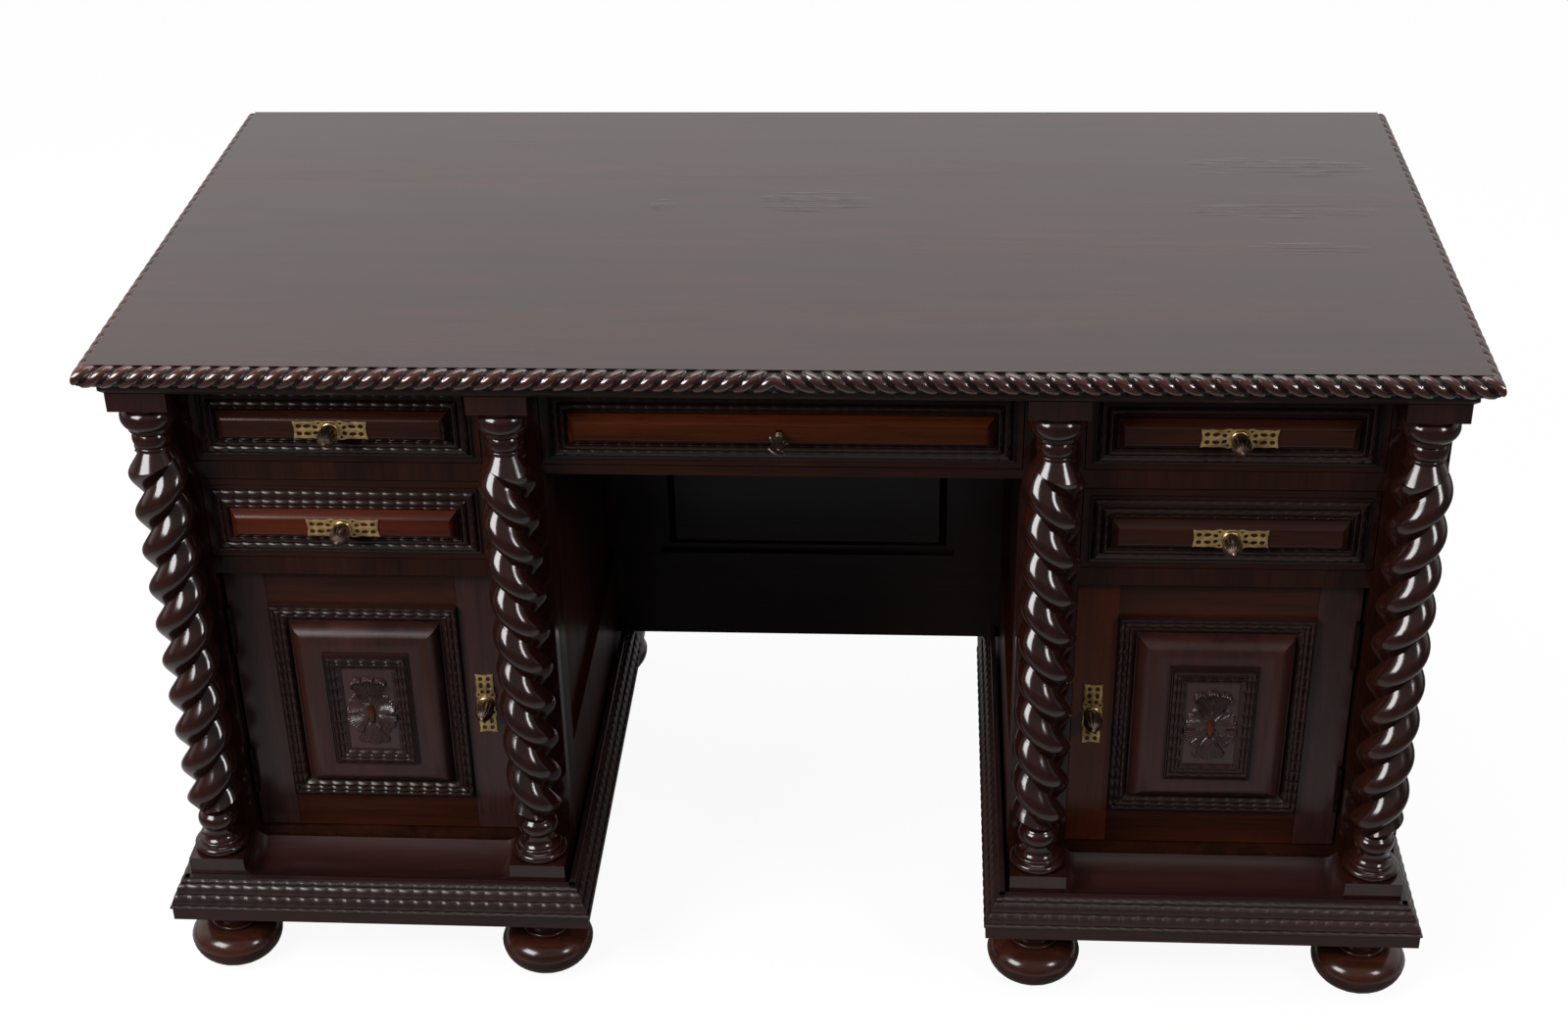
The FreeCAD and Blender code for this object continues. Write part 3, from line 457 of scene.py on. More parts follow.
def wavy_grid(length, rows, pitch):
    """A strip along X, its outer edge at y zero. A row is (across, valley height, crest height), in mm."""
    beads = max(1, round(length * 1000 / pitch))
    bm = unit_grid(beads * steps_per_bead, len(rows) - 1)
    for vert in bm.verts:
        place, valley, crest = rows[round((vert.co.y + 0.5) * (len(rows) - 1))]
        along_bead = (vert.co.x + 0.5) * beads % 1
        swell = 1 - (2 * along_bead - 1) ** 2
        vert.co = Vector((vert.co.x * length, place / 1000, (valley + (crest - valley) * swell) / 1000))
    return bm


def slice_off(bm, point, outward):
    geometry = bm.verts[:] + bm.edges[:] + bm.faces[:]
    bmesh.ops.bisect_plane(bm, geom=geometry, dist=merge_distance, plane_co=point, plane_no=outward,
                           clear_outer=True)


def close_behind(bm, settle):
    """Grows the open border, lets settle() place the new vertices, and fills the back."""
    border = [edge for edge in bm.edges if edge.is_boundary]
    grown = bmesh.ops.extrude_edge_only(bm, edges=border)["geom"]
    for item in grown:
        if isinstance(item, bmesh.types.BMVert):
            settle(item)
    bmesh.ops.edgeloop_fill(bm, edges=[edge for edge in bm.edges if edge.is_boundary])
    bmesh.ops.recalc_face_normals(bm, faces=bm.faces)


def join_into(target, source, matrix):
    """Adds one bmesh to another after placing it."""
    source.transform(matrix)
    if matrix.determinant() < 0:
        bmesh.ops.reverse_faces(source, faces=source.faces)
    spare = bpy.data.meshes.new("spare")
    source.to_mesh(spare)
    source.free()
    target.from_mesh(spare)
    bpy.data.meshes.remove(spare)


def finished(name, bm, material, smooth_angle=35):
    mesh = bpy.data.meshes.new(name)
    bm.to_mesh(mesh)
    bm.free()
    mesh.shade_smooth()
    mesh.set_sharp_from_angle(angle=math.radians(smooth_angle))
    mesh.materials.append(material)
    piece = bpy.data.objects.new(name, mesh)
    bpy.context.scene.collection.objects.link(piece)
    return piece


trial = wavy_grid(0.1, [(0, 0, 0), (1, 1, 2), (2, 0, 0)], 15)
print("a 100 mm trial strip has", len(trial.faces), "faces")
trial.free()

# %% Cross-sections of the ripples
drawer_rows = [
    (0.0, 0.6, 0.6), (0.3, 2.3, 2.3), (2.0, 2.6, 2.6), (2.7, 2.2, 2.3), (3.3, 3.2, 3.7), (5.0, 4.6, 5.4),
    (7.6, 5.6, 6.4), (10.0, 6.1, 6.8), (11.3, 5.5, 6.0), (12.0, 4.9, 5.1), (12.7, 6.1, 6.6),
    (14.4, 7.4, 8.2), (16.4, 8.1, 8.9), (17.8, 7.7, 8.3), (18.4, 7.1, 7.4), (19.0, 8.1, 9.0),
    (19.9, 8.6, 9.9), (20.7, 8.0, 9.0), (21.0, 0.6, 0.6)]
door_rows = [
    (0.0, 0.6, 0.6), (0.4, 5.0, 5.2), (1.4, 6.6, 7.1), (3.4, 7.2, 8.2), (5.3, 6.4, 7.2), (6.2, 5.5, 5.7),
    (7.0, 6.2, 6.8), (9.0, 6.7, 7.8), (11.0, 5.7, 6.6), (12.0, 4.6, 4.8), (12.8, 5.2, 5.8),
    (14.8, 5.2, 6.3), (16.8, 4.0, 4.8), (18.0, 2.9, 3.1), (19.0, 1.8, 2.0), (20.0, 0.5, 0.5)]
inner_rows = [
    (0.0, 0.4, 0.4), (0.4, 2.6, 2.6), (1.4, 2.9, 2.9), (2.0, 1.8, 1.8), (2.6, 3.2, 3.2), (3.6, 3.5, 3.5),
    (4.2, 2.6, 2.6), (4.8, 3.6, 4.4), (6.2, 4.0, 5.2), (7.8, 3.6, 4.7), (8.8, 2.7, 3.0), (9.4, 3.0, 3.8),
    (10.8, 3.2, 4.4), (12.4, 2.7, 3.6), (13.3, 1.9, 2.1), (14.0, 2.2, 2.9), (15.4, 2.3, 3.3),
    (17.0, 1.7, 2.4), (18.2, 0.9, 1.1), (20.0, 0.4, 0.4)]
plinth_rows = [
    (0.0, 0.4, 0.8), (0.7, 1.9, 2.7), (2.4, 2.4, 3.5), (4.0, 1.7, 2.4), (4.8, 0.7, 0.8), (5.6, 1.9, 2.5),
    (7.6, 2.6, 3.6), (12.0, 2.8, 3.9), (16.0, 2.4, 3.4), (17.4, 1.6, 2.2), (18.2, 0.7, 0.8),
    (19.0, 1.7, 2.3), (21.2, 2.5, 3.4), (25.0, 2.7, 3.8), (28.6, 2.3, 3.2), (30.2, 1.4, 1.9),
    (31.0, 0.6, 0.7), (31.9, 1.6, 2.2), (33.6, 2.0, 3.1), (35.2, 1.4, 2.0), (36.2, 0.9, 0.9),
    (38.5, 0.9, 0.9)]
drawer_pitch, door_pitch, inner_pitch, plinth_pitch = 14.6, 14.6, 14.4, 16.4
print("the plinth's ripple is", plinth_rows[-1][0], "mm wide")

# %% Ripple frames on the drawers and doors
stood_up = Matrix.Rotation(math.radians(90), 4, "X")


def flat_back(vert):
    vert.co.z = 0


def ripple_frame(low, high, face_y, rows, pitch, inset=(0, 0), target=None):
    """Four mitred lengths round the front from low to high, inset from its sides and from its ends."""
    whole = target or bmesh.new()
    middle = Vector(((low[0] + high[0]) / 2, face_y, (low[2] + high[2]) / 2))
    width, height = high[0] - low[0] - 2 * inset[0], high[2] - low[2] - 2 * inset[1]
    for quarter in range(4):
        length, reach = (width, height / 2) if quarter % 2 == 0 else (height, width / 2)
        strip = wavy_grid(length, rows, pitch)
        slice_off(strip, (-length / 2, 0, 0), (-1, 1, 0))
        slice_off(strip, (length / 2, 0, 0), (1, 1, 0))
        close_behind(strip, flat_back)
        lay = Matrix.Translation((0, 0, -reach)) @ stood_up
        turn = Matrix.Rotation(math.radians(-90 * quarter), 4, "Y")
        join_into(whole, strip, Matrix.Translation(middle) @ turn @ lay)
    return whole


sides = ("right", "left")
drawers = [side + "_" + level + "_drawer" for side in sides for level in ("upper", "lower")]
drawers.append("centre_drawer")
for drawer in drawers:
    low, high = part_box(drawer + "_ripple")
    ripples = ripple_frame(low, high, high[1], drawer_rows, drawer_pitch)
    piece = finished(drawer + "_ripple_carved", ripples, woods["ebonised_ripple"], 28)
    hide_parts(drawer + "_ripple")
    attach(piece, drawer)
print("the last frame has", len(piece.data.polygons), "faces")

# %% [markdown]
# ## Drawer fronts
# Within each ripple frame the drawer's front board stands up as a cushion: upright walls hidden behind
# the ripple, then a slope that rolls over into the flat middle. It starts as one rectangle, and each
# inset adds the next step of that section, with true mitres at the corners. The board's border is plain
# dark wood and the cushion has its own, often redder, veneer, so the faces get two materials.

# %% Cushions
border_width = 30.0
cushion_steps = [(0.1, 9.4), (2.6, 3.1), (2.2, 2.4), (1.8, 1.5), (1.2, 0.75), (0.9, 0.32), (0.7, 0.13)]


def front_rectangle(low, high):
    """A rectangle on XY, as wide and high as the front from low to high."""
    bm = unit_grid(1, 1)
    bmesh.ops.scale(bm, vec=(high[0] - low[0], high[2] - low[2], 1), verts=bm.verts)
    return bm


def step_inwards(bm, middle, steps):
    """Insets the middle face once for each step (inwards, upwards), in mm."""
    for inwards, upwards in steps:
        bmesh.ops.inset_region(bm, faces=middle, thickness=inwards / 1000, depth=upwards / 1000,
                               use_boundary=True, use_even_offset=True)


def against_front(low, high, face_y):
    """Stands a shape up from XY, in the middle of the front from low to high."""
    return Matrix.Translation(((low[0] + high[0]) / 2, face_y, (low[2] + high[2]) / 2)) @ stood_up


def cushion_front(low, high, face_y):
    """A front board from low to high whose plain face lies at face_y."""
    bm = front_rectangle(low, high)
    middle = bm.faces[:]
    step_inwards(bm, middle, [(border_width, 0)])
    border = set(bm.faces) - set(middle)
    step_inwards(bm, middle, cushion_steps)
    for face in bm.faces:
        face.material_index = 0 if face in border else 1
    known = set(bm.faces)
    close_behind(bm, lambda vert: setattr(vert.co, "z", face_y - high[1]))
    for face in set(bm.faces) - known:
        face.material_index = 0
    bm.transform(against_front(low, high, face_y))
    return bm


print("the cushion stands", round(sum(step[1] for step in cushion_steps), 2), "mm proud")

# %% [markdown]
# The centre drawer has a keyhole in the middle of its front, a room for the lock's case behind it, and
# another for the bolt above. Three closed shapes, a little larger than what goes in, are taken out of
# the board with Boolean modifiers. These are applied at once, so that the piece stays a plain mesh.

# %% Room for the lock
room_slack, room_beyond = 0.0003, 0.01
keyhole_radius, keyhole_depth = 0.0042, 0.1
front_low, front_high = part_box("centre_drawer_front")
keyhole = Vector((0, (front_low[1] + front_high[1]) / 2, (front_low[2] + front_high[2]) / 2))


def block(low, high):
    bm = bmesh.new()
    bmesh.ops.create_cube(bm, size=1.0)
    bmesh.ops.scale(bm, vec=high - low, verts=bm.verts)
    bmesh.ops.translate(bm, vec=(low + high) / 2, verts=bm.verts)
    return bm


def round_bar(place, radius, depth):
    bm = bmesh.new()
    bmesh.ops.create_cone(bm, cap_ends=True, segments=24, radius1=radius, radius2=radius, depth=depth)
    bm.transform(Matrix.Translation(place) @ stood_up)
    return bm


def lock_rooms():
    """The keyhole, the case's room, open at the back, and the bolt's room, open at the top."""
    slack = Vector((room_slack, room_slack, room_slack))
    case_low, case_high = (Vector(end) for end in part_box("lock_case"))
    bolt_low, bolt_high = (Vector(end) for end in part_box("lock_bolt"))
    case_high.y = front_high[1] + room_beyond
    bolt_high.z = front_high[2] + room_beyond
    return [round_bar(keyhole, keyhole_radius, keyhole_depth),
            block(case_low - slack, case_high + slack), block(bolt_low - slack, bolt_high + slack)]


def cut_away(bm, shapes):
    """Takes closed shapes out of a closed bmesh."""
    body = finished("body_to_cut", bm, woods["polished_rail"])
    cutters = [finished("cutter", shape, woods["polished_rail"]) for shape in shapes]
    for cutter in cutters:
        cut = body.modifiers.new("cut", "BOOLEAN")
        cut.operation = "DIFFERENCE"
        cut.solver = "EXACT"
        cut.object = cutter
    bpy.context.view_layer.update()
    mesh = bpy.data.meshes.new_from_object(body.evaluated_get(bpy.context.evaluated_depsgraph_get()))
    result = bmesh.new()
    result.from_mesh(mesh)
    for spare in [body] + cutters:
        bpy.data.objects.remove(spare)
    bpy.data.meshes.remove(mesh)
    return result


print("the keyhole lies", round(keyhole.z, 3), "m above the floor")

# %% Veneer the drawer fronts
drawer_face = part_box("centre_drawer_ripple")[1][1]
cushion_woods = {"left_lower_drawer": "drawer_field_red", "centre_drawer": "drawer_field_amber"}
for drawer in drawers:
    low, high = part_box(drawer + "_front")
    front = cushion_front(low, high, drawer_face)
    if drawer == "centre_drawer":
        front = cut_away(front, lock_rooms())
    piece = finished(drawer + "_front_veneered", front, woods["polished_rail"], 24)
    piece.data.materials.append(woods[cushion_woods.get(drawer, "drawer_field")])
    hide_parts(drawer + "_front")
    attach(piece, drawer)
print("the last front, with its three rooms, has", len(piece.data.polygons), "faces")

# %% [markdown]
# ## Door fields
# Each door's panel stands forward in a broad mitred border, like a picture frame turned inside out: a
# narrow fillet, a steep rise, a wide round crest and a flat that falls a little towards the middle. One
# rectangle that is inset again and again, each time by a small step inwards and upwards, gives those
# mitres exactly. The border is a little narrower at the top and bottom than at the sides, so the height
# of each inset is eased at the end.

# %% Steps of a door field
crest_step = 3.3
crest_slopes = [math.radians(degrees) for degrees in (76, 66, 56, 46, 37, 29, 22, 15, 8)]
crest_steps = [(crest_step * math.cos(slope), crest_step * math.sin(slope)) for slope in crest_slopes]
field_steps = [(1.4, 0.3)] + crest_steps + [(3.0, -0.1), (11.0, -1.2)]
field_rise = sum(step[1] for step in field_steps) / 1000
border_beside, border_above = 0.037, 0.033
panel_behind = 0.008


def raised_field(low, high, face_y):
    bm = front_rectangle(low, high)
    step_inwards(bm, bm.faces[:], field_steps)
    half_height = (high[2] - low[2]) / 2
    for vert in bm.verts:
        inset = half_height - abs(vert.co.y)
        vert.co.y = math.copysign(half_height - inset * (border_above / border_beside), vert.co.y)
    close_behind(bm, lambda vert: setattr(vert.co, "z", -panel_behind))
    bm.transform(against_front(low, high, face_y))
    return bm


field_run = sum(step[0] for step in field_steps)
print("the field rises", round(field_rise * 1000, 1), "mm over", round(field_run, 1))

# %% Fit the fields and their ripples
door_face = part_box("right_door_frame")[0][1]
ground = door_face - field_rise
for side in sides:
    low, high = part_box(side + "_door_panel")
    piece = finished(side + "_door_field", raised_field(low, high, door_face), woods["polished_field"], 30)
    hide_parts(side + "_door_panel")
    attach(piece, side + "_door")
    ripples = ripple_frame(*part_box(side + "_door_ripples"), door_face, door_rows, door_pitch)
    ripple_frame(low, high, ground, inner_rows, inner_pitch, (border_beside, border_above), ripples)
    frames = finished(side + "_door_ripples_carved", ripples, woods["ebonised_ripple"], 28)
    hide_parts(side + "_door_ripples")
    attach(frames, side + "_door")
print("both ripple frames of a door have", len(frames.data.polygons), "faces")

# %% [markdown]
# ## Stiles and rails
# A door's frame is four boards: the stiles run the whole height, and the rails sit between them, joined
# where the ripple frame ends. Their grain turns at each joint, and the rails took the stain redder, so
# every board is a piece of its own with slightly eased edges, which draw the joint lines. Behind the
# ripple a narrow tongue carries each stile on to the panel.

# %% Board the doors
def eased_board(low, high, ease=0.0006):
    bm = block(Vector(low), Vector(high))
    bmesh.ops.bevel(bm, geom=bm.edges[:], offset=ease, segments=2, profile=0.5, affect="EDGES", material=-1)
    return bm


for side in sides:
    (x0, y0, z0), (x1, y1, z1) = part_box(side + "_door_frame")
    (gap_x0, _, gap_z0), (gap_x1, _, gap_z1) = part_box(side + "_door_panel")
    rail_x0, rail_x1 = (box[0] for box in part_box(side + "_door_ripples"))
    inner_stile = woods["door_stile_red"] if side == "right" else woods["door_stile"]
    boards = {
        "stile_x0": ((x0, y0, z0), (rail_x0, y1, z1), inner_stile),
        "stile_x1": ((rail_x1, y0, z0), (x1, y1, z1), woods["door_stile"]),
        "rail_below": ((rail_x0, y0, z0), (rail_x1, y1, gap_z0), woods["door_rail"]),
        "rail_above": ((rail_x0, y0, gap_z1), (rail_x1, y1, z1), woods["door_rail"]),
        "tongue_x0": ((rail_x0, y0, gap_z0), (gap_x0, y1, gap_z1), woods["door_stile"]),
        "tongue_x1": ((gap_x1, y0, gap_z0), (rail_x1, y1, gap_z1), woods["door_stile"])}
    for label, (corner, opposite, wood) in boards.items():
        piece = finished(side + "_door_" + label, eased_board(corner, opposite), wood, 20)
        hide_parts(side + "_door_frame")
        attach(piece, side + "_door")
print("each door has", len(boards), "boards")

# %% [markdown]
# ## Carved plaques
# In the middle of each door lies a small carved plaque: a three-lobed shell above, leaves to both sides
# and below, all springing from a smooth reddish rib. A carver cuts each spray as fine flutes that spread
# from one point and end in a scalloped, slightly turned-up edge. The same can be had from a fine grid:
# each spray gives a height at every point, and the highest wins, which leaves sharp valleys between them.

# %% Sprays
# A spray is (root x, root z, way it points in degrees, half angle, reach, lobes, flutes, height, lip), in mm.
sprays = [(0, 2, 90, 34, 42, 3, 13, 5.0, 2.2),
          (2, 0, 24, 34, 26, 3, 9, 3.4, 0.3), (-2, 0, 156, 34, 26, 3, 9, 3.4, 0.3),
          (2, -8, -32, 34, 28, 3, 9, 3.4, 0.3), (-2, -8, 212, 34, 28, 3, 9, 3.4, 0.3),
          (0, -14, -90, 36, 34, 3, 11, 3.6, 0.3)]
# Shares of a spray's reach or height.
scallop_cut, flute_cut = 0.12, 0.20
root_height, swelling = 0.3, 0.55
lip_place, lip_width = 0.92, 0.07
edge_width, edge_height = 0.06, 0.3
# The rib and the flat ground, in mm.
rib_half_width, rib_half_height, rib_below_middle = 4.6, 15, 5
ground_thickness = 0.4


def spray_height(x, z, spray):
    root_x, root_z, pointing, half_angle, reach, lobes, flutes, top, lip = spray
    angle = (math.degrees(math.atan2(z - root_z, x - root_x)) - pointing + 180) % 360 - 180
    if abs(angle) >= half_angle:
        return 0
    turn_share = (angle / half_angle + 1) / 2
    lobe_share = turn_share * lobes % 1
    edge = reach * (1 - scallop_cut * (1 - math.sqrt(1 - (2 * lobe_share - 1) ** 2)))
    along = math.hypot(x - root_x, z - root_z) / edge
    if along >= 1:
        return 0
    fluting = 1 - flute_cut * (1 - math.cos(turn_share * 2 * math.pi * flutes))
    falling = min(1, (1 - along) / edge_width + edge_height)
    turned_up = lip * math.exp(-((along - lip_place) / lip_width) ** 2)
    return top * (root_height + swelling * along) * fluting * falling + turned_up


def rib_height(x, z):
    across, up = x / rib_half_width, (z + rib_below_middle) / rib_half_height
    return max(0, 1 - across ** 2 - up ** 2) ** 0.5 * rib_half_width


def plaque_height(x, z):
    return max([ground_thickness, rib_height(x, z)] + [spray_height(x, z, spray) for spray in sprays])


print(len(sprays), "sprays; the shell stands", round(plaque_height(0, 30), 1), "mm high at its middle")

# %% Carve the plaques
plaque_half_width, plaque_half_height = 28.0, 53.0
carving_step = 0.6
rib_margin = 0.3


def carved_plaque():
    width, height = plaque_half_width * 2, plaque_half_height * 2
    bm = unit_grid(round(width / carving_step), round(height / carving_step))
    bmesh.ops.scale(bm, vec=(width, height, 1), verts=bm.verts)
    for vert in bm.verts:
        vert.co.z = plaque_height(vert.co.x, vert.co.y)
    for face in bm.faces:
        middle = face.calc_center_median()
        face.material_index = 1 if rib_height(middle.x, middle.y) + rib_margin > middle.z else 0
    close_behind(bm, flat_back)
    bmesh.ops.scale(bm, vec=(0.001, 0.001, 0.001), verts=bm.verts)
    return bm


for side in sides:
    plaque = carved_plaque()
    plaque.transform(against_front(*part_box(side + "_door_panel"), ground))
    piece = finished(side + "_door_plaque_carved", plaque, woods["carved_plaque"], 40)
    piece.data.materials.append(woods["drawer_field_red"])
    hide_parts(side + "_door_plaque")
    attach(piece, side + "_door")
print("each plaque has", len(piece.data.polygons), "faces")

# %% [markdown]
# ## Plinth ripples and coves
# A deeper ripple moulding slopes up from the base plate to the carcass on the front and both sides of a
# pedestal, and a shallow hollow fills the space between the two column blocks. The sloping strips are
# made longer than they need to be, laid on the slope, and then cut by upright planes through the
# corners, so that their mitres fit although the strip leans back.

# %% Slopes and coves
slope_rise, slope_lean = 0.035, 0.016
strip_thickness = 0.006
cove_depth, cove_wall = 0.009, 0.013
cove_segments = (160, 24)


def sloping_length(start, end, back, cuts):
    """A ripple from start to end along the foot of the slope; back is the way it leans, one long."""
    start, end, back = Vector(start), Vector(end), Vector(back)
    run = end - start
    strip = wavy_grid(run.length, plinth_rows, plinth_pitch)
    along = run.normalized()
    up_slope = (back * slope_lean + Vector((0, 0, slope_rise))).normalized()
    matrix = Matrix((along, up_slope, along.cross(up_slope))).transposed().to_4x4()
    strip.transform(Matrix.Translation((start + end) / 2) @ matrix)
    for point, outward in cuts:
        slice_off(strip, point, outward)
    close_behind(strip, lambda vert: setattr(vert, "co", vert.co + back * strip_thickness))
    return strip


def cove_height(x, y, low, high):
    depth = (y - low.y) / (high.y - low.y)
    hollow = (high.z - low.z) * depth - cove_depth * 4 * depth * (1 - depth)
    wall = min(x - low.x, high.x - x)
    turned_up = cove_depth * max(0, 1 - wall / cove_wall) ** 2
    return low.z + hollow + turned_up


def cove(low, high, bottom):
    """A hollow from low to high that is filled down to bottom; its faces take the second material."""
    bm = unit_grid(*cove_segments)
    for vert in bm.verts:
        x = low.x + (vert.co.x + 0.5) * (high.x - low.x)
        y = low.y + (vert.co.y + 0.5) * (high.y - low.y)
        vert.co = Vector((x, y, cove_height(x, y, low, high)))
    close_behind(bm, lambda vert: setattr(vert.co, "z", bottom))
    for face in bm.faces:
        face.material_index = 1
    return bm


print("the plinth's ripple leans back by", round(math.degrees(math.atan2(slope_lean, slope_rise))), "degrees")

# %% Lay the plinths
(x0, y0, _), (x1, y1, base_z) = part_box("right_base_plate")
column_inner, column_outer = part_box("right_inner_column"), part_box("right_outer_column")
carcass_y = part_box("right_face_frame")[0][1]
wall_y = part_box("modesty_panel")[0][1]
spare_length = 0.03


def right_plinth():
    """The front, outer and inner lengths and the cove of the right pedestal."""
    low = Vector((column_inner[1][0], column_inner[0][1], base_z + slope_rise))
    high = Vector((column_outer[0][0], carcass_y, base_z + slope_rise + cove_depth))
    return (
        sloping_length((x0 - spare_length, y0, base_z), (x1 + spare_length, y0, base_z), (0, 1, 0),
                       [((x0, y0, base_z), (-1, 1, 0)), ((x1, y0, base_z), (1, 1, 0))]),
        sloping_length((x1, y0 - spare_length, base_z), (x1, y1, base_z), (-1, 0, 0),
                       [((x1, y0, base_z), (-1, -1, 0)), ((x1, y1, base_z), (0, 1, 0))]),
        sloping_length((x0, wall_y, base_z), (x0, y0 - spare_length, base_z), (1, 0, 0),
                       [((x0, y0, base_z), (1, -1, 0)), ((x0, wall_y, base_z), (0, 1, 0))]),
        cove(low, high, base_z))


for side, sign in (("right", 1), ("left", -1)):
    plinth = bmesh.new()
    for shape in right_plinth():
        join_into(plinth, shape, Matrix.Scale(sign, 4, (1, 0, 0)))
    piece = finished(side + "_plinth_carved", plinth, woods["polished_plinth"], 30)
    piece.data.materials.append(woods["base_cove"])
    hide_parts(side + "_plinth_mouldings")
    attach(piece, "desk")
print("each plinth has", len(piece.data.polygons), "faces")

# %% [markdown]
# ## The rope edge
# A rope of three strands is carved along the front and both sides of the top. The carver left each
# strand as a full round ridge, still reddish, and cut a slim second ridge in the groove beside it. The
# groove and the slim ridge take a near-black wood, which is painted shade. The twist runs towards the
# middle of the front from both corners, so the strands meet there like a roof. A grid wrapped round into
# a rod takes that section, and the rods are cut at 45 degrees at the corners.

# %% A twisted rod
rope_starts = 3
rope_lead = 0.060
# A place in a strand's section is a share of it, from 0 to 1; heights are shares of the full round.
groove_share = 0.19
main_middle, main_half = 0.36, 0.33
slim_middle, slim_half, slim_share = 0.85, 0.13, 0.4
rod_step, rod_sides = 0.0016, 48


def strand_height(phase):
    main = max(0, 1 - ((phase - main_middle) / main_half) ** 2) ** 0.5
    slim = max(0, 1 - ((phase - slim_middle) / slim_half) ** 2) ** 0.5
    return max(main, slim_share * slim)


def twisted_rod(length, radius, distance_at):
    """A rod along X; distance_at gives how far round the twist has got at each place."""
    bm = unit_grid(round(length / rod_step), rod_sides)

    def phase_at(point):
        return rope_starts * (point.y + distance_at(point.x * length) / rope_lead) % 1

    for face in bm.faces:
        # Faces off the main strand, in the groove and on the slim ridge, take the second material, whose
        # near-black is painted shade.
        face.material_index = 0 if abs(phase_at(face.calc_center_median()) - main_middle) < main_half else 1
    for vert in bm.verts:
        here = radius * (1 - groove_share * (1 - strand_height(phase_at(vert.co))))
        turn = vert.co.y * 2 * math.pi
        vert.co = Vector((vert.co.x * length, -here * math.cos(turn), here * math.sin(turn)))
    bmesh.ops.remove_doubles(bm, verts=bm.verts, dist=merge_distance)
    return bm


def capped(bm, cuts):
    for point, outward in cuts:
        slice_off(bm, point, outward)
    bmesh.ops.holes_fill(bm, edges=[edge for edge in bm.edges if edge.is_boundary], sides=0)
    bmesh.ops.recalc_face_normals(bm, faces=bm.faces)


print("a strand turns once in", rope_lead * 1000, "mm")

# %% Lay the rope
low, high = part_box("rope_edge")
rope_radius = (high[2] - low[2]) / 2
rope_depth = high[1] - low[1]
corner = Vector((high[0] - rope_radius, low[1] + rope_radius, low[2] + rope_radius))
rope = twisted_rod(high[0] - low[0], rope_radius, abs)
rope.transform(Matrix.Translation((0, corner.y, corner.z)))
capped(rope, [(corner, (1, 1, 0)), ((-corner.x, corner.y, corner.z), (-1, 1, 0))])
for sign in (1, -1):
    run = twisted_rod(rope_depth, rope_radius, lambda along: corner.x + rope_radius - along - rope_depth / 2)
    middle = Vector((corner.x, (low[1] + high[1]) / 2, corner.z))
    run.transform(Matrix.Translation(middle) @ Matrix.Rotation(math.radians(90), 4, "Z"))
    capped(run, [(corner, (-1, -1, 0))])
    join_into(rope, run, Matrix.Scale(sign, 4, (1, 0, 0)))
piece = finished("rope_carved", rope, woods["polished_rope"], 50)
# The second material, for the groove, is painted shade.
piece.data.materials.append(woods["rope_groove_painted_shade"])
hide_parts("rope_edge")
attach(piece, "desk")
print("the rope has", len(piece.data.polygons), "faces")

# %% [markdown]
# ## Brass
# The pulls are old pierced brass: a thin cast plate with a wavy outline and small holes, browned in its
# corners and rubbed bright where fingers reach, a bright collar, and a dark bronze acorn that is fluted
# down to its tip. The plate is a flat filled curve with holes, given a thickness and a soft edge. The
# acorn is a profile spun round its axis, whose radius then rises and falls to make the flutes.

# %% Metal materials
duller, grime_finer = 0.18, 5


def old_metal(name, worn, dull, roughness, rub_scale=90.0, relief=0.0002):
    material = bpy.data.materials.new(name)
    material.use_nodes = True
    tree = material.node_tree
    surface = tree.nodes["Principled BSDF"]
    place = tree.nodes.new("ShaderNodeTexCoord").outputs["Object"]
    tarnish = spread(tree, noise(tree, place, rub_scale, 4, 0.6), 0.35, 0.68)
    grime = spread(tree, noise(tree, place, rub_scale * grime_finer, 2), 0.3, 0.7)
    colour = blend_colours(tree, tarnish, (*dull, 1), (*worn, 1))
    tree.links.new(colour, surface.inputs["Base Color"])
    rough = spread(tree, tarnish, 0, 1, roughness + duller, roughness)
    tree.links.new(rough, surface.inputs["Roughness"])
    surface.inputs["Metallic"].default_value = 1.0
    bump = tree.nodes.new("ShaderNodeBump")
    bump.inputs["Strength"].default_value = 0.25
    bump.inputs["Distance"].default_value = relief
    tree.links.new(grime, bump.inputs["Height"])
    tree.links.new(bump.outputs["Normal"], surface.inputs["Normal"])
    return material


brass_plate = old_metal("tarnished_brass", (0.60, 0.43, 0.19), (0.25, 0.16, 0.075), 0.5)
brass_collar = old_metal("rubbed_brass", (0.52, 0.40, 0.20), (0.28, 0.18, 0.07), 0.26)
bronze_knob = old_metal("dark_bronze", (0.30, 0.21, 0.165), (0.20, 0.135, 0.105), 0.24, 40.0, 0.00002)
hinge_patina = old_metal("dark_hinge_brass", (0.02, 0.013, 0.009), (0.008, 0.005, 0.004), 0.5)
bolt_steel = old_metal("lock_steel", (0.36, 0.35, 0.34), (0.16, 0.15, 0.14), 0.4)
key_metal = old_metal("key_nickel", (0.36, 0.30, 0.24), (0.08, 0.055, 0.04), 0.34)
print("six metals")

